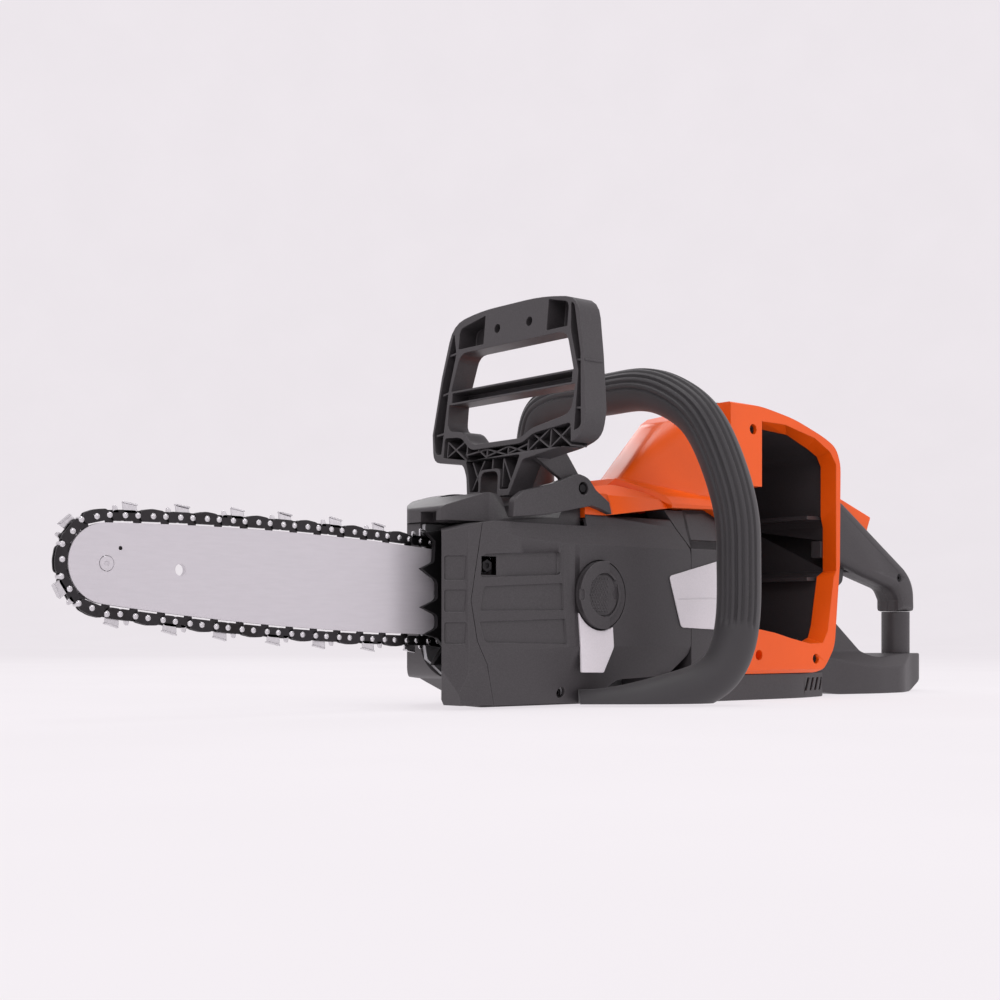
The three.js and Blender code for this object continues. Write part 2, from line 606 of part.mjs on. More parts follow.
/** Orange frame round the mouth of the battery bay. */
function batteryFrame() {
  const side = [
    [REAR_SPLIT_X + GAP, SILL_TOP_Z], [286, SILL_TOP_Z, 10], [302, 42, 8], [309, 112], [310, 196, 6],
    [304, 210, 8], [288, 217.5, 10], [250, 229.5, 14], [207, 236.5, 14], [REAR_SPLIT_X + GAP, 237],
  ];
  const section = [
    [COVER_NEAR_Y, 24], [-44, 20], [FRAME_BACK_Y, 20], [FRAME_BACK_Y, 241], [-40, 241], [COVER_NEAR_Y, 236],
  ];
  const screws = { frame_screw_top: [199, 217], frame_screw_low: [277.5, 32.5] };
  const blindRecess = [206, 36];
  let frame = sideSolid(outline(side), -60, FRAME_BACK_Y)
    .intersect(frontSolid(outline(section), 160, 330))
    .subtract(loftSolid(MOUTH_NEAR, MOUTH_BACK, COVER_NEAR_Y - 0.2, FRAME_BACK_Y + 0.2));
  for (const [x, z] of [...Object.values(screws), blindRecess]) {
    frame = frame.subtract(rodY(x, z, 4.2, -60, -41, 16));
  }
  add('battery_frame', frame, MATERIALS.orange);
  for (const [name, [x, z]] of Object.entries(screws)) {
    add(name, rodY(x, z, 3.4, -45.4, -41.3, 12), MATERIALS.darkSteel);
  }
}

function farCover() {
  const near = 56.3;
  const section = [[near, 10], [64, 10], [FAR_SIDE_Y, 30, 6], [FAR_SIDE_Y, 204, 6], [64, 216], [near, 221]];
  const openSection = inset(section, WALL).map(([y, z, cut]) => [y < 60 ? near - 5 : y, z, cut]);
  const shell = (side, front) => sideSolid(outline(side), near - 5, FAR_SIDE_Y)
    .intersect(frontSolid(outline(front), 160, 340));
  let cover = shell(REAR_OUTLINE, section).subtract(shell(inset(REAR_OUTLINE, WALL), openSection));
  for (let i = 0; i < 5; i += 1) {
    const z = 50 + i * 9;
    cover = cover.subtract(boxSolid([196, 262], [60, 80], [z, z + 4]));
  }
  cover = cover.subtract(boxSolid([246, 290], [60, 80], [150, 186]));
  add('far_cover', cover, MATERIALS.orange);
  const pad = boxSolid([246.4, 289.6], [64, 69], [150.4, 185.6]).subtract(rodY(268, 168, 7.3, 60, 80));
  add('keypad', pad, MATERIALS.rubber);
  add('power_button', rodY(268, 168, 7, 65.5, 70, 18), MATERIALS.light);
}

baseTray();
rearSill();
rearShell();
batteryTub();
batteryFrame();
farCover();

// ---------------------------------------------------------------- rear handle
const POST = { x: 468, radius: 13, topZ: 74 };
const HANDLE_OUTLINE = [
  [REAR_WALL_X + GAP, 128], [331, 126.5], [402, 106, 14], [449, 94, 12], [455.5, 84, 4],
  [455.5, POST.topZ + GAP], [480, POST.topZ + GAP], [479, 97, 12], [470, 111, 14], [378.5, 167.5, 10],
  [337.5, 190.7, 10], [REAR_WALL_X + GAP, 198],
];
const HANDLE_SCREW = { x: 453.5, z: 105 };
const TRIGGER_PIVOT = { x: 346, z: 132.5 };
const LOCKOUT_PIVOT = { x: 344, z: 176 };

/** Rounded handle body with both halves in one. */
function handleBlank() {
  const round = 7;
  const half = 15;
  const shape = outline(inset(HANDLE_OUTLINE, round));
  const geometry = new THREE.ExtrudeGeometry(shape, {
    depth: 2 * (half - round), bevelThickness: round, bevelSize: round, bevelSegments: 3, curveSegments: 4,
  });
  geometry.rotateX(Math.PI / 2).translate(0, HANDLE_Y + half - round, 0);
  return solid(geometry).intersect(sideSolid(outline(HANDLE_OUTLINE), -30, 50));
}

function rearHandle() {
  const hollow = sideSolid(outline(inset(HANDLE_OUTLINE, 4.5)), HANDLE_Y - 10.8, HANDLE_Y + 10.8);
  const triggerSlot = boxSolid([334, 392], [HANDLE_Y - 6, HANDLE_Y + 6], [90, 140]);
  const lockoutSlot = sideSolid(outline([[330, 158], [424, 112], [428, 146], [342, 202], [330, 202]]),
    HANDLE_Y - 7, HANDLE_Y + 7);
  const tailOpening = boxSolid([461, 475], [HANDLE_Y - 7, HANDLE_Y + 7], [70, 90]);
  const body = [hollow, triggerSlot, lockoutSlot, tailOpening].reduce((part, cut) => part.subtract(cut),
    handleBlank());
  const nearHalf = body.intersect(boxSolid([300, 520], [-30, HANDLE_Y - GAP / 2], [60, 230]));
  const screwHole = rodY(HANDLE_SCREW.x, HANDLE_SCREW.z, 3.9, -20, 0.3, 14);
  add('rear_handle_near', nearHalf.subtract(screwHole), MATERIALS.dark);
  add('rear_handle_far', body.intersect(boxSolid([300, 520], [HANDLE_Y + GAP / 2, 50], [60, 230])),
    MATERIALS.dark);
  add('handle_screw', rodY(HANDLE_SCREW.x, HANDLE_SCREW.z, 3.4, -2.2, 0, 12), MATERIALS.darkSteel);
}

function gripPost() {
  const post = new THREE.Shape();
  post.absarc(POST.x, HANDLE_Y, POST.radius, 0, Math.PI * 2, false);
  const bore = rodZ(POST.x, HANDLE_Y, 7, 40, 100, 12);
  add('grip_post', planSolid(post, 35.5, POST.topZ, 12).subtract(bore), MATERIALS.dark);
}

/** Strut, hand plate and rear foot in one moulding. */
function rearBase() {
  const side = [
    [325.5, 3, 2], [352, 0, 6], [466, 0, 6], [490, 9, 4], [500, 14], [506, 29], [498, 35.2], [444, 35.2, 6],
    [412, 32, 10], [398, 35, 8], [362, 64], [REAR_WALL_X + GAP, 97], [REAR_WALL_X + GAP, 21.4],
    [325.5, 21.4],
  ];
  const plan = [
    [320, -10], [350, -12, 8], [395, -22, 12], [436, -21, 10], [466, -6, 8], [490, 1, 6], [506.5, 14, 4],
    [498, 32, 8], [460, 46, 8], [400, 44, 12], [350, 36, 8], [320, 34],
  ];
  const leanNear = [[-30, 0], [60, 0], [60, 110], [4, 110], [-4, 38], [-23, 22]];
  add('rear_base', sideSolid(outline(side), -40, 60)
    .intersect(planSolid(outline(plan), -5, 120))
    .intersect(frontSolid(outline(leanNear), 300, 520)), MATERIALS.dark);
}

function handleControls() {
  const y = [HANDLE_Y - 5, HANDLE_Y + 5];
  const trigger = [
    [352, 106, 4], [358, 97, 5], [374, 94, 5], [383, 100, 3], [386, 117], [352, 138.5, 3], [341, 135, 3],
  ];
  add('trigger', sideSolid(outline(trigger), ...y)
    .subtract(rodY(TRIGGER_PIVOT.x, TRIGGER_PIVOT.z, 2.6, -20, 50, 16)), MATERIALS.rubber);
  const lockout = [
    [338, 184, 3], [336, 174, 3], [350, 168], [414, 137], [418.5, 150], [423, 160, 2], [377, 175.5, 6],
  ];
  add('trigger_lockout', sideSolid(outline(lockout), HANDLE_Y - 6, HANDLE_Y + 6)
    .subtract(rodY(LOCKOUT_PIVOT.x, LOCKOUT_PIVOT.z, 2.6, -20, 50, 16)), MATERIALS.orange);
  for (const [name, pivot] of [['trigger', TRIGGER_PIVOT], ['lockout', LOCKOUT_PIVOT]]) {
    const reach = 10.5;
    add(`${name}_pin`, rodY(pivot.x, pivot.z, 2.5, HANDLE_Y - reach, HANDLE_Y + reach, 16), MATERIALS.steel);
    const coil = rodY(pivot.x, pivot.z, 4, HANDLE_Y + 6.5, HANDLE_Y + 10, 14)
      .subtract(rodY(pivot.x, pivot.z, 2.8, 0, 60, 14));
    add(`${name}_spring`, coil, MATERIALS.steel);
  }
  add('trigger_switch', boxSolid([390, 408], [HANDLE_Y - 5, HANDLE_Y + 5], [114.5, 121.5]), MATERIALS.rubber);
}

rearHandle();
gripPost();
rearBase();
handleControls();

// ---------------------------------------------------------------- front handle
const HANDLE_RADIUS = 16.3;

/** Bent tube from the far side over the top and down, sinking into a flat foot under the cover. */
function frontHandle() {
  const groundClearance = 2;
  const route = [
    [91, 92, 124], [91, 94, 170], [91, 94, 202], [90, 84, 231], [90, 62, 240.5], [90, 9, 240.5],
    [90, -34, 239.5], [92, -57, 233], [96, -79, 219], [100, -91, 203], [106, -104, 169],
    [110, -110, 138], [112, -110, 103], [113, -108, 64], [110, -105, 42], [103, -100, 26],
    [92, -92, 16], [72, -79, 8], [50, -64, 1], [32, -50, -3], [18, -39, -4],
  ].map((point) => new THREE.Vector3(...point));
  const section = new THREE.Shape();
  section.absarc(0, 0, HANDLE_RADIUS, 0, Math.PI * 2);
  const tube = new THREE.ExtrudeGeometry(section, {
    steps: 60, curveSegments: 14, extrudePath: new THREE.CatmullRomCurve3(route, false, 'centripetal'),
  });
  const coverRoom = frontSolid(outline(inset(COVER_SECTION, -0.6)), 0, 140);
  const farPad = boxSolid([76, 106], [FAR_SIDE_Y + GAP, 92], [106, 134]);
  const aboveGround = boxSolid([0, 200], [-200, 200], [groundClearance, 300]);
  add('front_handle', solid(tube).add(farPad).intersect(aboveGround).subtract(coverRoom), MATERIALS.rubber);
}

frontHandle();

// ---------------------------------------------------------------- hand guard
function handGuard() {
  const foot = { near: -30, depth: 20 };
  const lean = 0.1; // the guard leans back this much for its height
  const leanFrom = 185;
  const outer = [
    [-19, 153], [-31, 178, 3], [-76, 184, 8], [-93, 190, 9], [-95, 208], [-88, 248], [-79, 289, 14],
    [-40, 295.5, 20], [30, 295.5, 20], [63, 290, 14], [72, 250], [78, 206], [74, 184, 8], [37, 180, 6],
    [32, 170, 3], [29, 153], [14, 153], [15, 172, 6], [-5, 172, 6], [-5.5, 153],
  ];
  const upperWindow = [[-79, 237.5], [-69, 266, 8], [51, 266, 8], [59, 237.5]];
  const lowerWindow = [
    [-80, 207, 8], [-82, 227], [60, 227], [60, 207, 8], [40, 205, 6], [28, 194, 6], [-28, 194, 6],
    [-38, 200, 6],
  ];
  const blank = frontSolid(outline(outer), foot.near, foot.near + foot.depth)
    .subtract(frontSolid(outline(upperWindow), -60, 30))
    .subtract(frontSolid(outline(lowerWindow), -60, 30));
  const channels = [
    [[-91, 196, 4], [-84, 194], [-84, 236], [-73, 266, 4], [-71, 287, 6], [-75, 284, 4], [-85, 248]],
    [[76, 206], [70, 248], [61, 284, 4], [56, 266, 4], [62, 238], [65, 190], [72, 190, 4]],
    [[24, 269.5], [54, 269.5], [54, 285, 5], [24, 291]],
    [[-69, 269.5], [-47, 269.5], [-47, 292], [-69, 287, 5]],
    [[-78, 228.5], [57, 228.5], [57, 236], [-78, 236]],
    [[-82, 184], [-30, 184], [28, 182], [62, 187], [62, 202, 3], [42, 201, 6], [30, 190, 6],
      [-30, 190, 6], [-40, 196, 6], [-80, 200, 3]],
  ];
  let guard = channels.reduce((body, channel) => body
    .subtract(frontSolid(outline(channel), foot.near - 5, foot.near + foot.depth - 3)), blank);
  const shear = new THREE.Matrix4().set(1, 0, lean, -lean * leanFrom, 0, 1, 0, 0, 0, 0, 1, 0, 0, 0, 0, 1);
  guard = solid(geometryOf(guard).applyMatrix4(shear));
  const arm = [
    [PIVOT.x + 7, PIVOT.z - 4, 3], [PIVOT.x + 6, PIVOT.z + 5, 3], [-4, 196, 3], [-24, 190], [-26, 179],
    [-2, 166], [PIVOT.x - 6, PIVOT.z - 6, 3],
  ];
  for (const [near, far] of [[-39.8, -36.2], [38, 41.6]]) {
    guard = guard.add(sideSolid(outline(arm), near, far));
  }
  guard = guard.subtract(rodY(PIVOT.x, PIVOT.z, 3.1, -60, 60, 24));
  for (const y of [9, -27]) guard = guard.subtract(rodX(y, 279, 3.4, -40, -12, 14));
  add('hand_guard', guard, MATERIALS.dark);
  add('guard_pin_near', rodY(PIVOT.x, PIVOT.z, 3, -46, -35.7, 24), MATERIALS.steel);
  add('guard_pin_far', rodY(PIVOT.x, PIVOT.z, 3, 36.4, 43.2, 24), MATERIALS.steel);
}

handGuard();

// ---------------------------------------------------------------- cover knob and tensioner
function coverKnob() {
  const face = COVER_NEAR_Y - 1.5;
  const disc = rodY(KNOB.x, KNOB.z, KNOB.radius, face, COVER_NEAR_Y + 2.1, 36);
  const stud = rodY(KNOB.x, KNOB.z, 3.6, COVER_NEAR_Y, PLATE_Y[0] - GAP);
  add('cover_knob', disc.add(stud), MATERIALS.dark);
  const flap = new THREE.Shape();
  const half = degrees(112);
  flap.absarc(KNOB.x, KNOB.z, KNOB.radius, Math.PI - half, Math.PI + half, false);
  flap.absarc(KNOB.x, KNOB.z, KNOB.radius - 9, Math.PI + half, Math.PI - half, true);
  flap.closePath();
  const hingeX = KNOB.x + 4;
  const leftOfHinge = boxSolid([0, hingeX], [-70, -40], [40, 120]);
  add('knob_flap', sideSolid(flap, face - GAP - 3.6, face - GAP, 20).intersect(leftOfHinge), MATERIALS.dark);
  const screw = rodY(-71, 100.5, 4.6, -41, -36, 6).add(rodY(-71, 100.5, 2.6, -37, -12, 12));
  add('tension_screw', screw, MATERIALS.darkSteel);
  add('cover_screw', rodY(1.5, 10.5, 3.4, -33, -29, 12), MATERIALS.darkSteel);
}

coverKnob();

// ---------------------------------------------------------------- drive, oil and electrics
function driveTrain() {
  const shaftRadius = 4;
  const sprocket = toothedDisc(0, SPROCKET_Z, DRIVE_TEETH, 13, 9.5, -3, 3)
    .add(rodY(0, SPROCKET_Z, 9, -7, 3.2, 20))
    .subtract(rodY(0, SPROCKET_Z, shaftRadius + 0.3, -20, 20));
  add('drive_sprocket', sprocket, MATERIALS.darkSteel);
  const rotor = rodY(0, SPROCKET_Z, 19, 16, 46, 28).add(rodY(0, SPROCKET_Z, shaftRadius, -6, 63));
  add('motor_rotor', rotor, MATERIALS.steel);
  const blades = toothedDisc(0, SPROCKET_Z, 11, 30, 12, 56.5, 61)
    .subtract(rodY(0, SPROCKET_Z, shaftRadius + 0.3, 40, 80));
  add('cooling_fan', blades, MATERIALS.rubber);
  const ring = (outer, inner, near, far, segments = 28) => rodY(0, SPROCKET_Z, outer, near, far, segments)
    .subtract(rodY(0, SPROCKET_Z, inner, near - 1, far + 1, segments));
  add('motor_stator', ring(35, 20, 17, 45), MATERIALS.copper);
  const can = ring(38, 35.4, 9, 51).add(ring(38, 10, 51, 53.5));
  add('motor_can', can, MATERIALS.aluminium);
  add('front_bearing', ring(11, shaftRadius + 0.4, 9, 14, 20), MATERIALS.steel);
  add('rear_bearing', ring(9.6, shaftRadius + 0.4, 49, 54, 20), MATERIALS.steel);
}

function oilSystem() {
  const tank = boxSolid([-34, 40], [11, 56], [16, 38]).subtract(boxSolid([-32, 38], [13, 54], [18, 36]))
    .subtract(rodY(OIL_CAP.x, OIL_CAP.z, 7.5, 50, 60));
  const motorRoom = rodY(0, SPROCKET_Z, 40, 0, 70, 32);
  add('oil_tank', tank.subtract(motorRoom), MATERIALS.light);
  const cap = rodY(OIL_CAP.x, OIL_CAP.z, 15, FAR_SIDE_Y + GAP, FAR_SIDE_Y + 5, 28)
    .add(rodY(OIL_CAP.x, OIL_CAP.z, 7, 58.5, FAR_SIDE_Y + 1))
    .add(boxSolid([OIL_CAP.x - 11, OIL_CAP.x + 11], [FAR_SIDE_Y + 4, FAR_SIDE_Y + 9],
      [OIL_CAP.z - 2, OIL_CAP.z + 2]));
  add('oil_cap', cap, MATERIALS.dark);
  add('oil_pump', boxSolid([-70, -46], [12, 30], [44, 60]).add(rodX(21, 52, 4, -46, -40)),
    MATERIALS.aluminium);
}

function electrics() {
  add('control_board', boxSolid([62, 116], [24, 26], [54, 118]).subtract(rodY(70, 62, 2, 20, 30, 8)),
    MATERIALS.board);
}

driveTrain();
oilSystem();
electrics();

export default group;
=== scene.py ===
"""Looks of a battery chainsaw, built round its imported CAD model.

Every piece starts from its CAD node and gains the moulded detail: panels, ribs, grooves,
links, rounded edges and finishes. Outlines are in millimetres in the CAD frame: X runs from
the bar's nose (-X) to the rear handle (+X), -Y is the cover side and Z is up.
"""

import json
import math

import bmesh
import bpy
from mathutils import Matrix, Vector
from mathutils.geometry import area_tri

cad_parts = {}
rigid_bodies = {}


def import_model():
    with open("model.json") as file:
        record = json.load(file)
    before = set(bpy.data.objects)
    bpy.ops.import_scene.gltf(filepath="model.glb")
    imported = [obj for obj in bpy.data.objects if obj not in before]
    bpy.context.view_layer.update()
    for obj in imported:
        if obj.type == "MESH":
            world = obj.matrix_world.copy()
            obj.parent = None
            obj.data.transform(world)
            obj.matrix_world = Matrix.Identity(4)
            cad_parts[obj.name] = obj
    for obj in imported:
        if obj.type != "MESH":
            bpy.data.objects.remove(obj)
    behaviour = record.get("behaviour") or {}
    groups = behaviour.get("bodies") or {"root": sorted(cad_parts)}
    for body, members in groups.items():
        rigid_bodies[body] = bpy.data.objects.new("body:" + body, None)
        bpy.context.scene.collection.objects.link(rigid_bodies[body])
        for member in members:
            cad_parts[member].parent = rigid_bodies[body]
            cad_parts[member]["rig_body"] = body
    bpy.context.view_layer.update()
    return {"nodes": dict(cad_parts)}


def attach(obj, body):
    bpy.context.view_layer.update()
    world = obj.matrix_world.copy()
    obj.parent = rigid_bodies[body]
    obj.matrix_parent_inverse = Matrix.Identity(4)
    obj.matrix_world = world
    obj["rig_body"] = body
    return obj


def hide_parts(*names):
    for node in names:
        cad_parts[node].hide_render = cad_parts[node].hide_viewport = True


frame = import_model()
NODES = frame["nodes"]
MM = 0.001

# ------------------------------------------------------------------ driving sizes, in mm
SPROCKET_Z = 78
BAR_TILT = math.radians(3)
KNOB = (31, 81.5)
KNOB_RADIUS = 25
COVER_Y = -48
GUARD_X = -30
GUARD_LEAN = 0.1
GUARD_LEAN_FROM = 185
HANDLE_RADIUS = 16.3
SCREW_FACE_Y = -45.4  # face of the housing round the two frame screws

# Limits of the mesh tools: lengths in metres, losses as shares of a surface's area.
MERGE_DISTANCE = 0.00001
FLAT_LOSS = 0.0005
BEVEL_LOSS = 0.04

# The chain's rivet line round the bar, measured from the sprocket's axis along the bar.
RIVET_CREST = 36.1
CREST_S = 169
RAIL_CURVE = 0.000227
TAIL_S = 50
NOSE_S = 341
PITCH_RADIUS = 18.2
DRIVE_LINKS = 44
LINK_SHARE = 0.45  # part of each pitch that lies between one drive link's own rivets


# ------------------------------------------------------------------ mesh tools
def rounded(corners, steps=5):
    """Closed outline through corners (a, b, cut); a cut rounds the corner over that length."""
    points = []
    for i, corner in enumerate(corners):
        here = Vector(corner[:2])
        back = Vector(corners[i - 1][:2]) - here
        ahead = Vector(corners[(i + 1) % len(corners)][:2]) - here
        wanted = corner[2] if len(corner) > 2 else 0
        cut = min(wanted, back.length * 0.49, ahead.length * 0.49)
        if cut == 0:
            points.append(here)
            continue
        enter = here + back.normalized() * cut
        leave = here + ahead.normalized() * cut
        for k in range(steps + 1):
            t = k / steps
            points.append(enter.lerp(here, t).lerp(here.lerp(leave, t), t))
    return points


def circle(a, b, radius, steps=28):
    """Closed outline of a circle with that many corners."""
    turn = 2 * math.pi / steps
    angles = [i * turn for i in range(steps)]
    return [Vector((a + radius * math.cos(t), b + radius * math.sin(t))) for t in angles]


def place(axis, point, depth):
    """A point of an outline, put at a depth along the outline's axis."""
    a, b = point
    return Vector({"x": (depth, a, b), "y": (a, depth, b), "z": (a, b, depth)}[axis])


def add_prism(bm, points, axis, low, high, matrix=None):
    """Adds a closed prism with that outline between two depths."""
    rings = [[bm.verts.new(place(axis, p, depth)) for p in points] for depth in (low, high)]
    faces = [bm.faces.new(rings[0]), bm.faces.new(list(reversed(rings[1])))]
    for i in range(len(points)):
        j = (i + 1) % len(points)
        faces.append(bm.faces.new((rings[0][i], rings[1][i], rings[1][j], rings[0][j])))
    bmesh.ops.recalc_face_normals(bm, faces=faces)
    if matrix is not None:
        bmesh.ops.transform(bm, matrix=matrix, verts=rings[0] + rings[1])


def make(name, bm, scale=MM):
    """A new object from a mesh in millimetres."""
    bmesh.ops.scale(bm, vec=(scale, scale, scale), verts=bm.verts)
    mesh = bpy.data.meshes.new(name)
    bm.to_mesh(mesh)
    bm.free()
    made = bpy.data.objects.new(name, mesh)
    bpy.context.scene.collection.objects.link(made)
    return made


def prisms(name, specs):
    """One object holding several prisms: (outline, axis, low, high) each."""
    bm = bmesh.new()
    for points, axis, low, high in specs:
        add_prism(bm, points, axis, low, high)
    return make(name, bm)


def skin_area(bm):
    """Area of the mesh as it is drawn, face by face in triangles."""
    return sum(area_tri(*(loop.vert.co for loop in tri)) for tri in bm.calc_loop_triangles())


def tidy_mesh(mesh, angle=0.05):
    """Joins split vertices and dissolves edges inside flat faces, unless that closes a hole."""
    bm = bmesh.new()
    bm.from_mesh(mesh)
    bmesh.ops.remove_doubles(bm, verts=bm.verts, dist=MERGE_DISTANCE)
    area = skin_area(bm)
    joined = bm.copy()
    bmesh.ops.dissolve_limit(
        joined, angle_limit=math.radians(angle), verts=joined.verts, edges=joined.edges
    )
    kept = joined if abs(skin_area(joined) - area) < area * FLAT_LOSS else bm
    kept.to_mesh(mesh)
    joined.free()
    bm.free()


def copy_of(node, name):
    """A new piece with the CAD node's shape."""
    mesh = bpy.data.meshes.new(name)
    bm = bmesh.new()
    bm.from_mesh(NODES[node].data)
    bm.to_mesh(mesh)
    bm.free()
    tidy_mesh(mesh)
    made = bpy.data.objects.new(name, mesh)
    bpy.context.scene.collection.objects.link(made)
    return made


def combine(body, tool, operation="DIFFERENCE", crossing=False):
    """Cuts tool from body, joins it or keeps what they share. The tool is used up."""
    step = body.modifiers.new("combine", "BOOLEAN")
    step.operation = operation
    step.solver = "EXACT"
    step.use_self = crossing
    step.object = tool
    graph = bpy.context.evaluated_depsgraph_get()
    mesh = bpy.data.meshes.new_from_object(body.evaluated_get(graph))
    body.modifiers.clear()
    body.data = mesh
    bpy.data.objects.remove(tool)
    return body


def hull_of(node, shift):
    """Convex block round a CAD node, moved by shift millimetres."""
    bm = bmesh.new()
    for corner in sorted({tuple(vertex.co) for vertex in NODES[node].data.vertices}):
        bm.verts.new(Vector(corner) + Vector(shift) * MM)
    bmesh.ops.remove_doubles(bm, verts=bm.verts, dist=MERGE_DISTANCE)
    bmesh.ops.convex_hull(bm, input=bm.verts)
    loose = [v for v in bm.verts if not v.link_faces]
    bmesh.ops.delete(bm, geom=loose, context="VERTS")
    bmesh.ops.recalc_face_normals(bm, faces=bm.faces)
    return make(f"{node}_hull", bm, scale=1)


def sink(body, node, outlines, depth, near=-70, far=-20):
    """Sinks panels into a face that looks to -Y, following its slope at one depth."""
    tool = prisms("panel_tool", [(points, "y", near, far) for points in outlines])
    combine(tool, hull_of(node, (0, depth, 0)))
    combine(body, tool, crossing=True)


def shown_area(piece):
    """Area of the piece with its modifiers."""
    bm = bmesh.new()
    bm.from_object(piece, bpy.context.evaluated_depsgraph_get())
    area = skin_area(bm)
    bm.free()
    return area


def soften(piece, width=0.7, segments=2, angle=26):
    """Rounds the piece's edges and shades its flats flat; edges that would cross stay sharp."""
    tidy_mesh(piece.data)
    plain_area = shown_area(piece)
    piece.data.shade_smooth()
    bevel = piece.modifiers.new("edges", "BEVEL")
    bevel.width = width * MM
    bevel.segments = segments
    bevel.limit_method = "ANGLE"
    bevel.angle_limit = math.radians(angle)
    bevel.use_clamp_overlap = False
    if abs(shown_area(piece) - plain_area) > plain_area * BEVEL_LOSS:
        bevel.width = width * MM / 2
    if abs(shown_area(piece) - plain_area) > plain_area * BEVEL_LOSS:
        bevel.use_clamp_overlap = True
    weighted = piece.modifiers.new("flats", "WEIGHTED_NORMAL")
    weighted.keep_sharp = False
    weighted.weight = 60
    return piece


def crisp(piece, angle=24):
    """Keeps the piece's edges where they are; its material rounds the light along them."""
    tidy_mesh(piece.data)
    piece.data.shade_smooth()
    piece.data.set_sharp_from_angle(angle=math.radians(angle))
    return piece


def finish_piece(piece, body, slot, *nodes):
    """Gives the piece its material and the body that it rides on, and hides the CAD nodes that it stands
    for.
    """
    piece.data.materials.clear()
    piece.data.materials.append(MATERIALS[slot])
    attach(piece, body)
    if nodes:
        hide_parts(*nodes)
    return piece


# ------------------------------------------------------------------ materials
def node_of(tree, kind, **inputs):
    """A shader node with its inputs set; _ in a keyword stands for a space."""
    made = tree.nodes.new(kind)
    for key, value in inputs.items():
        made.inputs[key.replace("_", " ")].default_value = value
    return made


def base_material(name, rough, **sockets):
    """Principled material and its object-space coordinates."""
    material = bpy.data.materials.new(name)
    material.use_nodes = True
    tree = material.node_tree
    shader = tree.nodes["Principled BSDF"]
    shader.inputs["Roughness"].default_value = rough
    for key, value in sockets.items():
        shader.inputs[key.replace("_", " ")].default_value = value
    coords = tree.nodes.new("ShaderNodeTexCoord").outputs["Object"]
    return material, tree, shader, coords


def linear(rgb):
    """Linear colour of an sRGB colour given in 0-255."""
    return tuple(((c / 255 + 0.055) / 1.055) ** 2.4 if c > 10 else c / 255 / 12.92 for c in rgb) + (1,)


def noise(tree, coords, scale, detail=4, rough=0.55):
    """Value of a noise pattern."""
    texture = node_of(tree, "ShaderNodeTexNoise", Scale=scale, Detail=detail, Roughness=rough)
    tree.links.new(coords, texture.inputs["Vector"])
    return texture.outputs["Fac"]


def ramp(tree, value, low, high, first, last):
    """Colour or grey between two values of a pattern."""
    made = tree.nodes.new("ShaderNodeValToRGB")
    made.color_ramp.elements[0].position = low
    made.color_ramp.elements[1].position = high
    made.color_ramp.elements[0].color = first
    made.color_ramp.elements[1].color = last
    tree.links.new(value, made.inputs["Fac"])
    return made.outputs["Color"]


def grey(value):
    """Opaque grey of that linear value."""
    return (value, value, value, 1)


def mix(tree, factor, first, second, blend="MIX"):
    """Blends two colours; each argument is a value or another node's output."""
    made = tree.nodes.new("ShaderNodeMix")
    made.data_type = "RGBA"
    made.blend_type = blend
    for socket, value in ((made.inputs[0], factor), (made.inputs[6], first), (made.inputs[7], second)):
        if isinstance(value, (float, int, tuple)):
            socket.default_value = value
        else:
            tree.links.new(value, socket)
    return made.outputs[2]


def bump(tree, shader, height, strength, distance, before=None):
    """Raises the surface by a pattern, over the rounded edges or over another bump."""
    made = node_of(tree, "ShaderNodeBump", Strength=strength, Distance=distance * MM)
    tree.links.new(height, made.inputs["Height"])
    if before is None:
        edges = tree.nodes.new("ShaderNodeBevel")
        edges.samples = 4
        edges.inputs["Radius"].default_value = 0.7 * MM
        before = edges.outputs["Normal"]
    tree.links.new(before, made.inputs["Normal"])
    tree.links.new(made.outputs["Normal"], shader.inputs["Normal"])
    return made.outputs["Normal"]


def edge_mask(tree, radius):
    """Bright on convex and concave edges, from how the rounded normal leaves the true one; it sets where
    highlights are painted along edges.
    """
    rounded_normal = tree.nodes.new("ShaderNodeBevel")
    rounded_normal.samples = 4
    rounded_normal.inputs["Radius"].default_value = radius * MM
    true_normal = tree.nodes.new("ShaderNodeNewGeometry")
    dot = tree.nodes.new("ShaderNodeVectorMath")
    dot.operation = "DOT_PRODUCT"
    tree.links.new(rounded_normal.outputs["Normal"], dot.inputs[0])
    tree.links.new(true_normal.outputs["Normal"], dot.inputs[1])
    return ramp(tree, dot.outputs["Value"], 0.9, 0.995, grey(1), grey(0))


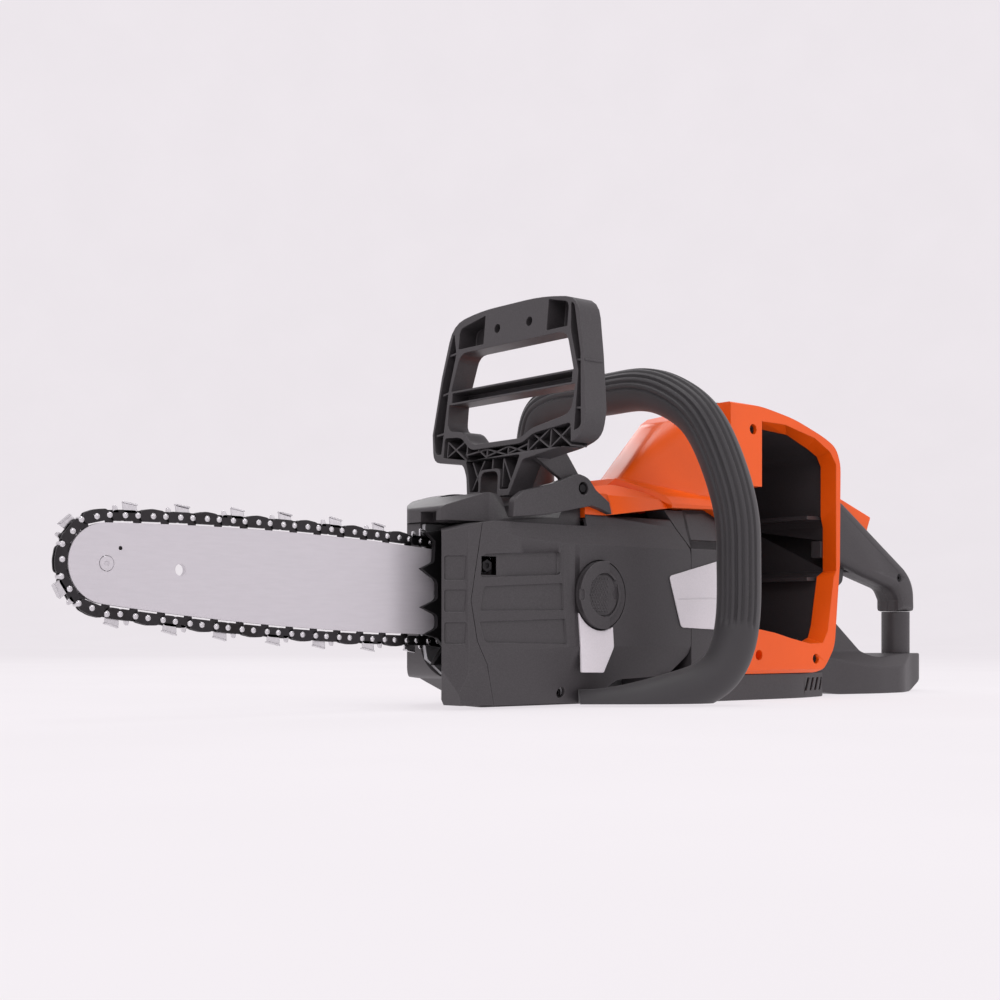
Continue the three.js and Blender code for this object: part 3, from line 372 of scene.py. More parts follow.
def plastic(name, rgb, rough, grain, grain_scale, edge_highlight_strength, **sockets):
    """Moulded plastic: grained skin, faint flow marks, dulled patches and painted highlights along its
    edges, patchy by a noise pattern.
    """
    material, tree, shader, coords = base_material(name, rough, **sockets)
    flow = noise(tree, coords, 9, 5)
    # Noise pattern that makes the painted edge highlights patchy.
    highlight_noise = noise(tree, coords, 70, 6, 0.7)
    tone = linear(rgb)
    dark = tuple(c * 0.84 for c in tone[:3]) + (1,)
    bright = tuple(min(1, c * 1.12) for c in tone[:3]) + (1,)
    colour = mix(tree, 0.3, ramp(tree, flow, 0.3, 0.7, dark, bright), tone)
    speck = ramp(tree, noise(tree, coords, grain_scale, 2, 0.5), 0.4, 0.62, grey(0), grey(min(1, grain)))
    colour = mix(tree, speck, colour, tuple(min(1, c * 1.35) for c in tone[:3]) + (1,))
    # Painted highlight: a lighter colour along convex and concave edges, in patches set by the noise
    # pattern above.
    edge_highlight_colour = tuple(min(1, c * 1.6 + 0.035) for c in tone[:3]) + (1,)
    edges = edge_mask(tree, 0.9)
    highlight_patches = ramp(tree, highlight_noise, 0.35, 0.65, grey(0.2), grey(edge_highlight_strength))
    painted_edge_highlight = mix(tree, 1.0, edges, highlight_patches, "MULTIPLY")
    colour = mix(tree, painted_edge_highlight, colour, edge_highlight_colour)
    tree.links.new(colour, shader.inputs["Base Color"])
    tree.links.new(ramp(tree, flow, 0.25, 0.75, grey(rough * 0.88), grey(min(1, rough * 1.12))),
                   shader.inputs["Roughness"])
    skin = noise(tree, coords, grain_scale, 3, 0.6)
    ripple = noise(tree, coords, 30, 2)
    bump(tree, shader, ripple, 0.1, 0.2, bump(tree, shader, skin, grain, 0.08))
    return material


def rubber(name, rgb):
    """Soft grip: fine pebbled skin with patches polished by the hands that hold it."""
    material, tree, shader, coords = base_material(name, 0.6, Sheen_Weight=0.12)
    hands = noise(tree, coords, 14, 4)
    tone = linear(rgb)
    bright = tuple(c * 1.35 for c in tone[:3]) + (1,)
    tree.links.new(ramp(tree, hands, 0.35, 0.7, tone, bright), shader.inputs["Base Color"])
    tree.links.new(ramp(tree, hands, 0.3, 0.7, grey(0.5), grey(0.68)), shader.inputs["Roughness"])
    pebble = node_of(tree, "ShaderNodeTexVoronoi", Scale=1400.0)
    tree.links.new(coords, pebble.inputs["Vector"])
    bump(tree, shader, pebble.outputs["Distance"], 0.25, 0.06)
    return material


def metal(name, rgb, rough, stretch=(1, 1, 1), streak=0.3, stain=None, metallic=1.0, **sockets):
    """Steel or alloy: drawn streaks, small scratches, painted highlights along its edges and, if asked,
    oily stains.
    """
    material, tree, shader, coords = base_material(name, rough, Metallic=metallic, **sockets)
    mapping = tree.nodes.new("ShaderNodeMapping")
    mapping.inputs["Scale"].default_value = stretch
    tree.links.new(coords, mapping.inputs["Vector"])
    streaks = noise(tree, mapping.outputs["Vector"], 420, 5, 0.65)
    clouds = noise(tree, coords, 22, 5)
    tone = linear(rgb)
    dark = tuple(c * (1 - streak) for c in tone[:3]) + (1,)
    colour = mix(tree, 0.55, tone, ramp(tree, streaks, 0.3, 0.7, dark, tone))
    if stain is not None:
        colour = mix(tree, ramp(tree, clouds, 0.5, 0.72, grey(0), grey(0.6)), colour, linear(stain))
    # Painted highlight: a lighter colour along convex and concave edges.
    edge = tuple(min(1, c * 1.3 + 0.05) for c in tone[:3]) + (1,)
    colour = mix(tree, mix(tree, 1.0, edge_mask(tree, 0.5), grey(0.55), "MULTIPLY"), colour, edge)
    tree.links.new(colour, shader.inputs["Base Color"])
    tree.links.new(ramp(tree, streaks, 0.2, 0.8, grey(rough * 0.8), grey(min(1, rough * 1.25))),
                   shader.inputs["Roughness"])
    bump(tree, shader, streaks, 0.12, 0.03)
    return material


def winding():
    """Copper wire wound side by side."""
    material, tree, shader, coords = base_material("winding_copper", 0.35, Metallic=1.0)
    wave = node_of(tree, "ShaderNodeTexWave", Scale=260.0, Distortion=0.6)
    tree.links.new(coords, wave.inputs["Vector"])
    tree.links.new(ramp(tree, wave.outputs["Fac"], 0.1, 0.9, linear((110, 62, 30)), linear((205, 135, 80))),
                   shader.inputs["Base Color"])
    bump(tree, shader, wave.outputs["Fac"], 0.6, 0.3)
    return material


def board():
    """Circuit board with faint tracks under its lacquer."""
    material, tree, shader, coords = base_material("board_green", 0.4)
    tracks = node_of(tree, "ShaderNodeTexBrick", Scale=90.0)
    tracks.inputs["Color1"].default_value = linear((26, 84, 48))
    tracks.inputs["Color2"].default_value = linear((32, 98, 56))
    tracks.inputs["Mortar"].default_value = linear((70, 130, 70))
    tree.links.new(coords, tracks.inputs["Vector"])
    tree.links.new(tracks.outputs["Color"], shader.inputs["Base Color"])
    bump(tree, shader, tracks.outputs["Fac"], 0.3, 0.05)
    return material


MATERIALS = {
    "dark_plastic": plastic("dark_plastic", (60, 57, 59), 0.5, 0.6, 1100, 0.8),
    "orange_plastic": plastic("orange_plastic", (248, 92, 8), 0.34, 0.1, 900, 0.2,
                              Specular_IOR_Level=0.35, Coat_Weight=0.08, Coat_Roughness=0.2),
    "light_plastic": plastic("light_plastic", (222, 217, 221), 0.38, 0.12, 900, 0.2),
    "grip_rubber": rubber("grip_rubber", (50, 48, 50)),
    "bar_steel": metal("bar_steel", (208, 204, 209), 0.36, (0.15, 1, 1.2), 0.1, None, 0.25,
                       Coat_Weight=0.2, Coat_Roughness=0.25),
    "chain_steel": metal("chain_steel", (62, 60, 62), 0.34, (1, 1, 1), 0.4, (34, 30, 26)),
    "bright_steel": metal("bright_steel", (215, 213, 216), 0.22, (1, 1, 1), 0.25),
    "black_steel": metal("black_steel", (44, 43, 45), 0.42, (1, 1, 1), 0.3, (28, 26, 25), 0.8),
    "cast_alloy": metal("cast_alloy", (170, 170, 172), 0.5, (1, 1, 1), 0.15),
    "winding_copper": winding(),
    "board_green": board(),
}


# ------------------------------------------------------------------ bar and chain
def rivet_height(s):
    """Height of the rivet line above the bar's middle."""
    return RIVET_CREST - RAIL_CURVE * (s - CREST_S) ** 2


def rivet_slope(s):
    """Slope of the rivet line."""
    return -2 * RAIL_CURVE * (s - CREST_S)


def chain_line():
    """Closed loop (bar-frame x, z) along the rivets, from the sprocket out along the top."""
    steps = 90
    top = []
    for i in range(steps + 1):
        s = TAIL_S + (NOSE_S - TAIL_S) * i / steps
        top.append(Vector((-s, rivet_height(s))))
    centre_s = NOSE_S + rivet_slope(NOSE_S) * rivet_height(NOSE_S)
    radius = rivet_height(NOSE_S) * math.hypot(1, rivet_slope(NOSE_S))
    lean = math.atan(-rivet_slope(NOSE_S))
    first = math.pi / 2 + lean
    nose = []
    for i in range(1, 40):
        angle = first + (3 * math.pi / 2 - lean - first) * i / 40
        nose.append(Vector((-centre_s + radius * math.cos(angle), radius * math.sin(angle))))
    bottom = [Vector((p.x, -p.y)) for p in reversed(top)]
    height = rivet_height(TAIL_S)
    touch = math.atan2(height, TAIL_S) + math.acos(PITCH_RADIUS / math.hypot(TAIL_S, height))
    tail = []
    for i in range(41):
        angle = math.pi + touch + (2 * math.pi - 2 * touch) * i / 40
        tail.append(Vector((PITCH_RADIUS * math.cos(angle), PITCH_RADIUS * math.sin(angle))))
    return top + nose + bottom + tail


class Run:
    """Finds points at a distance along the closed chain line."""

    def __init__(self, points):
        self.points = points + [points[0]]
        self.reach = [0.0]
        for a, b in zip(self.points, self.points[1:]):
            self.reach.append(self.reach[-1] + (b - a).length)
        self.length = self.reach[-1]

    def at(self, distance):
        distance %= self.length
        i = next(k for k in range(1, len(self.reach)) if self.reach[k] >= distance)
        share = (distance - self.reach[i - 1]) / (self.reach[i] - self.reach[i - 1])
        return self.points[i - 1].lerp(self.points[i], share)


BAR_FRAME = Matrix.Translation((0, 0, SPROCKET_Z)) @ Matrix.Rotation(BAR_TILT, 4, "Y")


def link_matrix(a, b):
    """From a link's own frame (x from rivet a to b, z outwards from the bar) to the saw's, in mm."""
    along = (b - a).normalized()
    middle = (a + b) / 2
    own = Matrix((
        (along.x, 0, along.y, middle.x),
        (0, 1, 0, 0),
        (along.y, 0, -along.x, middle.y),
        (0, 0, 0, 1),
    ))
    return BAR_FRAME @ own


def strap_outline(pitch, height=6.8):
    """Side link: two round ends with a slightly waisted edge towards the bar."""
    r = height / 2
    end = pitch / 2 + r
    return rounded([
        (-end, -r, 3), (-pitch * 0.12, -r), (0, -r + 0.7), (pitch * 0.12, -r), (end, -r, 3), (end, r, 3),
        (-end, r, 3),
    ])


def saw_chain():
    """Drive links, side straps, cutters and rivets in their real order."""
    run = Run(chain_line())
    pitch = run.length / DRIVE_LINKS
    straps, links, cutters, rivets = (bmesh.new() for _ in range(4))
    for i in range(DRIVE_LINKS):
        a = run.at(i * pitch)
        b = run.at((i + LINK_SHARE) * pitch)
        c = run.at((i + 1) * pitch)
        drive_pitch = (b - a).length
        drive = rounded([
            (-drive_pitch / 2 - 3, -1, 1), (-2.5, -3.2), (-1.2, -8.2, 1), (1.6, -8.2, 1), (3.2, -3.2),
            (drive_pitch / 2 + 3, -1, 1), (drive_pitch / 2 + 2.6, 3.2, 2), (-drive_pitch / 2 - 2.6, 3.2, 2),
        ])
        add_prism(links, drive, "y", -0.7, 0.7, link_matrix(a, b))
        strap_pitch = (c - b).length
        matrix = link_matrix(b, c)
        cutter_side = 0 if i % 2 else (-1 if i % 4 else 1)
        for side in (-1, 1):
            near, far = sorted((side * 1.0, side * 2.3))
            if side == cutter_side:
                add_cutter(straps, cutters, side, strap_pitch, matrix)
            elif i % 2:
                ramp_strap = rounded([
                    (-strap_pitch / 2 - 3.4, -3.4, 3), (strap_pitch / 2 + 3.4, -3.4, 3),
                    (strap_pitch / 2 + 3.4, 3.6, 3), (0.5, 4.6, 2), (-strap_pitch / 2 - 3.4, 3.4, 3),
                ])
                add_prism(straps, ramp_strap, "y", near, far, matrix)
            else:
                add_prism(straps, strap_outline(strap_pitch), "y", near, far, matrix)
        for rivet in (b, c):
            at = link_matrix(rivet, rivet + (c - b))
            add_prism(rivets, circle(0, 0, 1.9, 14), "y", -2.75, 2.75, at)
            add_prism(rivets, circle(0, 0, 1.1, 12), "y", -3.05, 3.05, at)
    for name, bm, slot, width in (
        ("chain_straps", straps, "chain_steel", 0.3), ("chain_drive_links", links, "chain_steel", 0.2),
        ("chain_cutters", cutters, "bright_steel", 0.18), ("chain_rivets", rivets, "bright_steel", 0.2),
    ):
        finish_piece(soften(make(name, bm), width, 2, 35), "saw_body", slot, "saw_chain")


def add_cutter(plates, tops, side, strap_pitch, matrix):
    """Cutter: side plate with depth gauge ahead of the gullet, and a top plate bent over the chain."""
    end = strap_pitch / 2 + 3.4
    gauge = rounded([(end - 4.6, 1.5), (end - 0.4, 1.5), (end - 0.6, 6.2, 1.6), (end - 3.0, 5.8, 1)])
    blade = rounded([(-end + 0.6, 1.5), (1.0, 1.5), (1.7, 8.5, 0.4), (-end + 0.9, 6.9, 0.8)])
    near, far = sorted((side * 1.0, side * 2.3))
    add_prism(plates, strap_outline(strap_pitch), "y", near, far, matrix)
    for shape in (gauge, blade):
        add_prism(tops, shape, "y", near, far, matrix)
    top = [(-end + 0.4, side * 2.6), (1.7, side * 3.0), (0.4, -side * 0.4), (-end + 1.2, -side * 1.2)]
    rings = []
    for lift in (0.0, -1.0):
        ring = []
        for x, y in top:
            z = 8.75 + lift + (x - 1.7) * 0.17
            ring.append(tops.verts.new(matrix @ Vector((x, y, z))))
        rings.append(ring)
    faces = [tops.faces.new(rings[0]), tops.faces.new(list(reversed(rings[1])))]
    for i in range(4):
        j = (i + 1) % 4
        faces.append(tops.faces.new((rings[0][i], rings[1][i], rings[1][j], rings[0][j])))
    bmesh.ops.recalc_face_normals(tops, faces=faces)


def bar_parts():
    """Bar plate and the dimpled rivet at its nose."""
    finish_piece(crisp(copy_of("guide_bar", "bar_plate")), "saw_body", "bar_steel", "guide_bar")
    centre = BAR_FRAME @ Vector((-(NOSE_S + rivet_slope(NOSE_S) * rivet_height(NOSE_S)), 0, 0))
    rivet = copy_of("nose_rivet", "nose_rivet_head")
    dimple = prisms("dimple_tool", [(circle(centre.x, centre.z, 1.6), "y", -6, -1.7)])
    finish_piece(soften(combine(rivet, dimple), 0.3), "saw_body", "bar_steel", "nose_rivet")


# ------------------------------------------------------------------ drive cover side
COVER_PANELS = [
    [(-76, 86, 2), (-6, 89.5, 2), (-5, 70, 2), (-79, 69, 2)],
    [(-80, 61.5, 2), (-4, 64, 2), (-2, 45.5, 2), (-75, 47, 2)],
]
TENSION_POCKET = [(-79, 92, 3), (-8, 95.5, 4), (-8, 112, 4), (-76, 108.5, 3)]
COVER_CREASES = [
    [(-72, 118.6), (100, 121.5), (124, 114), (124, 115.2), (100, 122.9), (-72, 120)],
    [(106.5, 146), (124.6, 121.5), (124.6, 36), (123.4, 36), (123.4, 121), (105.6, 145)],
]
PANEL_DEPTH = 1.6
POCKET_DEPTH = 2.7
CREASE_DEPTH = 0.7


def drive_cover():
    """Cover with its sunk panels and creases, the band and tongue at its front, label and screws."""
    cover = copy_of("drive_cover", "drive_cover_shell")
    sink(cover, "drive_cover", [rounded(panel) for panel in COVER_PANELS], PANEL_DEPTH)
    sink(cover, "drive_cover", [rounded(TENSION_POCKET)], POCKET_DEPTH)
    sink(cover, "drive_cover", [rounded(crease) for crease in COVER_CREASES], CREASE_DEPTH)
    finish_piece(crisp(cover), "saw_body", "dark_plastic", "drive_cover")

    band = copy_of("cover_front_band", "front_band_shell")
    small = [[(-100.5, z0, 1.5), (-90, z0, 1.5), (-89, z1, 1.5), (-100.5, z1, 1.5)]
             for z0, z1 in ((90, 107), (68, 83.5), (46, 61))]
    sink(band, "cover_front_band", [rounded(panel) for panel in small], PANEL_DEPTH, -60, -18)
    finish_piece(crisp(band), "saw_body", "dark_plastic", "cover_front_band")

    tongue = soften(copy_of("cover_tongue", "tongue_insert"), 0.4)
    finish_piece(tongue, "saw_body", "light_plastic", "cover_tongue")
    label = copy_of("label_plate", "label_badge")
    rule = prisms("rule_tool", [([(112, 79.2), (163, 80.4), (163, 81.4), (112, 80.2)], "y", -60, -48.8)])
    finish_piece(soften(combine(label, rule), 0.3), "saw_body", "light_plastic", "label_plate")
    screw("cover_screw", "saw_body", (1.5, 10.5), -33, 3.2)
    screw("tension_screw", "chain_tensioner", (-71, 100.5), -41, 4.2)


def screw(node, body, centre, face_y, radius):
    """Screw with a six-sided socket in its head."""
    head = copy_of(node, f"{node}_head")
    socket = prisms("socket_tool", [(circle(*centre, radius * 0.5, 6), "y", face_y - 3, face_y + 1.6)])
    finish_piece(soften(combine(head, socket), 0.3), body, "black_steel", node)


def knob():
    """Cover knob: dished disc with grip dots, a pointer notch and its folding flap."""
    disc = copy_of("cover_knob", "knob_disc")
    face = COVER_Y - 1.5
    x, z = KNOB
    notch = [(x + 9, z + 12, 2), (x + 13, z + 5, 2), (x + 9, z + 1, 3), (x + 13, z - 4, 2),
             (x + 17, z - 2, 2), (x + 15, z + 3, 2), (x + 17, z + 10, 2)]
    groove = prisms("groove_tool", [(circle(x, z, KNOB_RADIUS - 8, 40), "y", face - 1, face + 1.8)])
    combine(groove, prisms("core_tool", [(circle(x, z, KNOB_RADIUS - 10, 40), "y", face - 3, face + 3)]))
    combine(disc, groove)
    recess = prisms("recess_tool", [(circle(x, z, KNOB_RADIUS + 1, 48), "y", face - 1, face + 1.7)])
    combine(recess, prisms("hub_tool", [(circle(x, z, KNOB_RADIUS - 6.5, 40), "y", face - 3, face + 3)]))
    left = [(x - 40, z - 40), (x + 4.2, z - 40), (x + 4.2, z + 40), (x - 40, z + 40)]
    combine(recess, prisms("left_tool", [(left, "y", face - 3, face + 3)]))
    combine(disc, recess)
    combine(disc, prisms("notch_tool", [(rounded(notch), "y", face - 1, face + 1.4)]))
    finish_piece(soften(disc, 0.5), "knob", "dark_plastic", "cover_knob")

    dots = bmesh.new()
    spacing = 2.7
    for row in range(-5, 6):
        for column in range(-6, 3):
            a = (column + 0.5 * (row % 2)) * spacing - 1
            b = row * spacing * 0.87
            if math.hypot(a, b) < KNOB_RADIUS - 10.5:
                spot = Matrix.Translation((x + a, face, z + b)) @ Matrix.Diagonal((1, 0.6, 1, 1))
                bmesh.ops.create_icosphere(dots, subdivisions=2, radius=0.85, matrix=spot)
    grip = make("knob_grip_dots", dots)
    grip.data.shade_smooth()
    finish_piece(grip, "knob", "dark_plastic")

    flap = copy_of("knob_flap", "knob_flap_ring")
    top = face - 3.9
    finger = [(x - 26, z + 4, 2), (x - 21, z + 4, 2), (x - 21, z - 4, 2), (x - 26, z - 4, 2)]
    combine(flap, prisms("finger_tool", [(rounded(finger), "y", top - 1, top + 1.2)]))
    finish_piece(soften(flap, 0.7, 3), "flap", "dark_plastic", "knob_flap")


def bumper():
    """Toothed plate beside the bar's root."""
    plate = soften(copy_of("bumper_spikes", "bumper_plate"), 0.5)
    finish_piece(plate, "saw_body", "black_steel", "bumper_spikes")


# ------------------------------------------------------------------ hand guard
GUARD_BACK = 17.5
THIN_RIB = 1.3
THIN_RIB_FRONT = 2.2


def guard_matrix():
    """Leans what is built upright into the guard's plane."""
    lean = Matrix.Identity(4)
    lean[0][2] = GUARD_LEAN
    lean[0][3] = -GUARD_LEAN * GUARD_LEAN_FROM
    return lean


def add_rib(bm, a, b, thickness=1.5, deep=1.2):
    """Thin wall between two (y, z) points of the guard's front, from a depth behind its face."""
    a = Vector(a)
    b = Vector(b)
    side = (b - a).normalized()
    across = Vector((-side.y, side.x)) * thickness / 2
    corners = [a - across, b - across, b + across, a + across]
    add_prism(bm, corners, "x", GUARD_X + deep, GUARD_X + GUARD_BACK, guard_matrix())


def hand_guard():
    """The CAD frame with the ribs that stiffen its hollow front."""
    guard = copy_of("hand_guard", "hand_guard_frame")
    web = [(-28, 182, 2), (-25.5, 176, 3), (-17.5, 158, 1), (-8, 158, 1), (-7.5, 174, 6), (17.5, 174, 6),
           (16.5, 158, 1), (26.5, 158, 1), (30, 172, 3), (34, 182, 2)]
    hollow = bmesh.new()
    add_prism(hollow, rounded(web), "x", GUARD_X - 5, GUARD_X + 16, guard_matrix())
    combine(guard, make("web_tool", hollow))
    finish_piece(soften(guard, 0.5, 2), "guard", "dark_plastic", "hand_guard")
    ribs = bmesh.new()
    for z in (209, 243):
        add_rib(ribs, (-92 + max(0, z - 236) * 0.35, z), (-83 + max(0, z - 236) * 0.37, z + 1))
    for z in (205, 236, 266):
        add_rib(ribs, (74 - max(0, z - 206) * 0.14, z), (63.5 - max(0, z - 236) * 0.2, z + 1))
    for a, b in (((-27, 181), (-16, 160)), ((-20, 160), (-8, 181)), ((16, 160), (28, 181)),
                 ((26, 160), (14, 181)), ((4.5, 174), (4.5, 182)), ((-8, 181), (-8, 160))):
        add_rib(ribs, a, b, THIN_RIB, THIN_RIB_FRONT)
    cells = [(-80, -58), (-58, -34), (-34, -12), (-12, 12), (12, 36), (36, 60)]
    for left, right in cells:
        low_left = 184 if left < -34 else 183
        low_right = 184 if right < 30 else 187
        top_left = 199 if left < -38 or left > 35 else 189.5
        top_right = 199 if right < -30 or right > 35 else 189.5
        for a, b in (((left, low_left), (right, top_right)), ((left, top_left), (right, low_right)),
                     ((right, low_right), (right, top_right))):
            add_rib(ribs, a, b, THIN_RIB, THIN_RIB_FRONT)
    web = make("hand_guard_ribs", ribs)
    finish_piece(soften(web, 0.25), "guard", "dark_plastic")


# ------------------------------------------------------------------ front handle
HANDLE_ROUTE = [
    (91, 92, 124), (91, 94, 170), (91, 94, 202), (90, 84, 231), (90, 62, 240.5), (90, 9, 240.5),
    (90, -34, 239.5), (92, -57, 233), (96, -79, 219), (100, -91, 203), (106, -104, 169),
    (110, -110, 138), (112, -110, 103), (113, -108, 64), (110, -105, 42), (103, -100, 26),
    (92, -92, 16), (72, -79, 8), (50, -64, 1), (32, -50, -3), (18, -39, -4),
]
HANDLE_SIDES = 144
GROOVES = 6
GROOVE_CENTRE = math.radians(224)
GROOVE_SPREAD = math.radians(92)
GROOVE_WIDTH = math.radians(5)
GROOVE_DEPTH = 1.6


def smooth_route(route, steps):
    """Centripetal Catmull-Rom curve through the route's points."""
    points = [Vector(p) for p in route]
    points = [points[0] * 2 - points[1], *points, points[-1] * 2 - points[-2]]
    made = []
    for i in range(1, len(points) - 2):
        p0, p1, p2, p3 = points[i - 1:i + 3]
        t0, t1 = 0.0, (p1 - p0).length ** 0.5
        t2 = t1 + (p2 - p1).length ** 0.5
        t3 = t2 + (p3 - p2).length ** 0.5
        for k in range(steps):
            t = t1 + (t2 - t1) * k / steps
            a1 = p0.lerp(p1, (t - t0) / (t1 - t0))
            a2 = p1.lerp(p2, (t - t1) / (t2 - t1))
            a3 = p2.lerp(p3, (t - t2) / (t3 - t2))
            b1 = a1.lerp(a2, (t - t0) / (t2 - t0))
            b2 = a2.lerp(a3, (t - t1) / (t3 - t1))
            made.append(b1.lerp(b2, (t - t1) / (t2 - t1)))
    made.append(points[-2])
    return made


def groove_depth(angle, share):
    """Depth of the grip's lengthwise grooves at an angle round the tube; share fades them out."""
    cut = 0.0
    for i in range(GROOVES):
        line = GROOVE_CENTRE + GROOVE_SPREAD * (i / (GROOVES - 1) - 0.5)
        away = abs((angle - line + math.pi) % (2 * math.pi) - math.pi)
        cut = max(cut, GROOVE_DEPTH * max(0.0, 1 - (away / GROOVE_WIDTH) ** 2))
    return cut * share


def front_handle():
    """Grip tube swept along its bent route, with lengthwise grooves, cut where the CAD one is."""
    line = smooth_route(HANDLE_ROUTE, 10)
    bm = bmesh.new()
    rings = []
    for i, point in enumerate(line):
        ahead = (line[min(i + 1, len(line) - 1)] - line[max(i - 1, 0)]).normalized()
        across = Vector((1, 0, 0))
        across = (across - ahead * across.dot(ahead)).normalized()
        outward = across.cross(ahead)
        start = min(1.0, max(0.0, (i - 22) / 3))
        stop = min(1.0, max(0.0, (point.z - 58) / 5)) if point.y < 0 else 1.0
        ring = []
        for k in range(HANDLE_SIDES):
            angle = 2 * math.pi * k / HANDLE_SIDES
            radius = HANDLE_RADIUS - groove_depth(angle, start * stop)
            spoke = across * math.cos(angle) + outward * math.sin(angle)
            ring.append(bm.verts.new(point + spoke * radius))
        rings.append(ring)
    for a, b in zip(rings, rings[1:]):
        for k in range(HANDLE_SIDES):
            j = (k + 1) % HANDLE_SIDES
            bm.faces.new((a[k], a[j], b[j], b[k]))
    bm.faces.new(rings[0])
    bm.faces.new(list(reversed(rings[-1])))
    bmesh.ops.recalc_face_normals(bm, faces=bm.faces)
    handle = make("front_handle_grip", bm)
    pad = [([(70.3, 106), (92, 106), (92, 134), (70.3, 134)], "x", 76, 106)]
    combine(handle, prisms("pad_tool", pad), "UNION")
    room = [(-34.6, 1.9), (-9, 1.9), (-9, 149), (-38, 149), (-42.6, 134), (-48.6, 118), (-48.6, 43.8)]
    combine(handle, prisms("room_tool", [(room, "x", 0, 140)]))
    ground = [([(-200, -40), (200, -40), (200, 2), (-200, 2)], "x", -20, 220)]
    combine(handle, prisms("ground_tool", ground))
    handle.data.shade_smooth()
    handle.data.set_sharp_from_angle(angle=math.radians(40))
    finish_piece(handle, "saw_body", "grip_rubber", "front_handle")


# ------------------------------------------------------------------ orange covers and battery part
def orange_parts():
    """The four orange shells and the two screws that hold the battery frame."""
    for node, name in (
        ("motor_cover", "motor_cover_shell"), ("front_top_cover", "front_top_shell"),
        ("battery_frame", "battery_frame_shell"), ("far_cover", "far_cover_shell"),
    ):
        finish_piece(crisp(copy_of(node, name)), "saw_body", "orange_plastic", node)
    screw("frame_screw_top", "saw_body", (199, 217), SCREW_FACE_Y, 3.2)
    screw("frame_screw_low", "saw_body", (277.5, 32.5), SCREW_FACE_Y, 3.2)


def battery_bay():
    """Tub with the ledges, guide rails and vents that a battery slides on."""
    tub = copy_of("battery_tub", "battery_tub_shell")
    finish_piece(soften(tub, 0.5), "saw_body", "dark_plastic", "battery_tub")
    rails = bmesh.new()
    for low, high in ((98, 101), (150, 153)):
        add_prism(rails, [(288, low), (303 if low < 120 else 309.5, low), (309.5, high), (288, high)],
                  "y", -30, 46)
    for z in (60, 74, 196):
        add_prism(rails, [(189.4, z), (194, z), (194, z + 2.4), (189.4, z + 2.4)], "y", -28, 46)
    for i in range(6):
        x = 206 + i * 15
        add_prism(rails, [(x, 46), (x + 3, 46), (x + 3, 49), (x, 49)], "y", -24, 40)
    guides = make("bay_guide_rails", rails)
    finish_piece(soften(guides, 0.4), "saw_body", "dark_plastic")
    contacts = soften(copy_of("battery_contacts", "contact_block"), 0.4)
    finish_piece(contacts, "saw_body", "black_steel", "battery_contacts")


def sill_and_base():
    """Sill with its slanted slots and low vents."""
    sill = copy_of("rear_sill", "rear_sill_shell")
    slots = []
    for i in range(5):
        x = 272 + i * 9
        slots.append(([(x, 6), (x + 3.4, 6), (x + 8.4, 16.5), (x + 5, 16.5)], "y", -60, 0))
    low_vents = [([(x, 8), (x + 3, 8), (x + 3, 16), (x, 16)], "y", -60, -20) for x in (112, 119, 126)]
    combine(sill, prisms("slot_tool", slots + low_vents))
    finish_piece(soften(sill, 0.8), "saw_body", "dark_plastic", "rear_sill")


PANEL_SECTION = [(-48, 10), (-48, 118), (-42, 134), (-38, 149), (-36, 156), (20, 156), (20, 10)]
PANEL_TOP = [(107.2, 148.2), (127.2, 148.6), (152, 149.4), (171.5, 140.6), (171.5, 119), (127.2, 119)]


def lean_in(piece):
    """Keeps what lies inside the panel's section, which leans in above its crease."""
    return combine(piece, prisms("lean_tool", [(PANEL_SECTION, "x", 100, 180)]), "INTERSECT")


def rear_side_panel():
    """Side panel and the strip that closes it above its crease."""
    panel = lean_in(copy_of("rear_side_panel", "rear_side_panel_shell"))
    finish_piece(crisp(panel), "saw_body", "dark_plastic", "rear_side_panel")
    closing = lean_in(prisms("side_panel_top", [(PANEL_TOP, "y", -60, -18)]))
    finish_piece(crisp(closing), "saw_body", "dark_plastic")


# ------------------------------------------------------------------ rear handle
def rear_handle():
    """Near half of the handle, the foot with its bored tip, and the handle's screw."""
    near = copy_of("rear_handle_near", "rear_handle_near_half")
    finish_piece(crisp(near), "saw_body", "dark_plastic", "rear_handle_near")
    foot = copy_of("rear_base", "rear_base_foot")
    hole = prisms("hole_tool", [(circle(482.5, 5, 2.6, 18), "z", 6, 30)])
    finish_piece(soften(combine(foot, hole), 1.4, 3, 20), "saw_body", "dark_plastic", "rear_base")
    screw("handle_screw", "saw_body", (453.5, 105), -2.2, 3.2)


# ------------------------------------------------------------------ every other piece
SLOT_OF = {
    "dark_plastic": """far_housing front_deck brake_housing base_tray rear_shell
        rear_handle_far grip_post oil_cap""",
    "orange_plastic": "trigger_lockout",
    "light_plastic": "power_button oil_tank",
    "grip_rubber": "keypad trigger trigger_switch cooling_fan",
    "black_steel": "guard_pin_near guard_pin_far",
    "bright_steel": """bar_stud_front bar_stud_rear trigger_pin trigger_spring lockout_pin
        lockout_spring motor_rotor front_bearing rear_bearing""",
    "chain_steel": "nose_sprocket drive_sprocket",
    "cast_alloy": "chassis_plate motor_can oil_pump",
    "winding_copper": "motor_stator",
    "board_green": "control_board",
}
CRISP = ("rear_handle_far", "far_housing", "rear_shell", "front_deck")
EDGE_WIDTH = {"brake_housing": 0.8, "trigger_lockout": 1.2, "trigger": 1.2, "oil_cap": 0.8}
PLAIN_EDGE = 0.35


def remaining_pieces():
    """Pieces whose CAD shape is right: rounded edges and their finish."""
    for slot, names in SLOT_OF.items():
        for node in names.split():
            piece = copy_of(node, f"{node}_piece")
            body = NODES[node]["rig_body"]
            width = EDGE_WIDTH.get(node, PLAIN_EDGE)
            shaped = crisp(piece) if node in CRISP else soften(piece, width)
            finish_piece(shaped, body, slot, node)


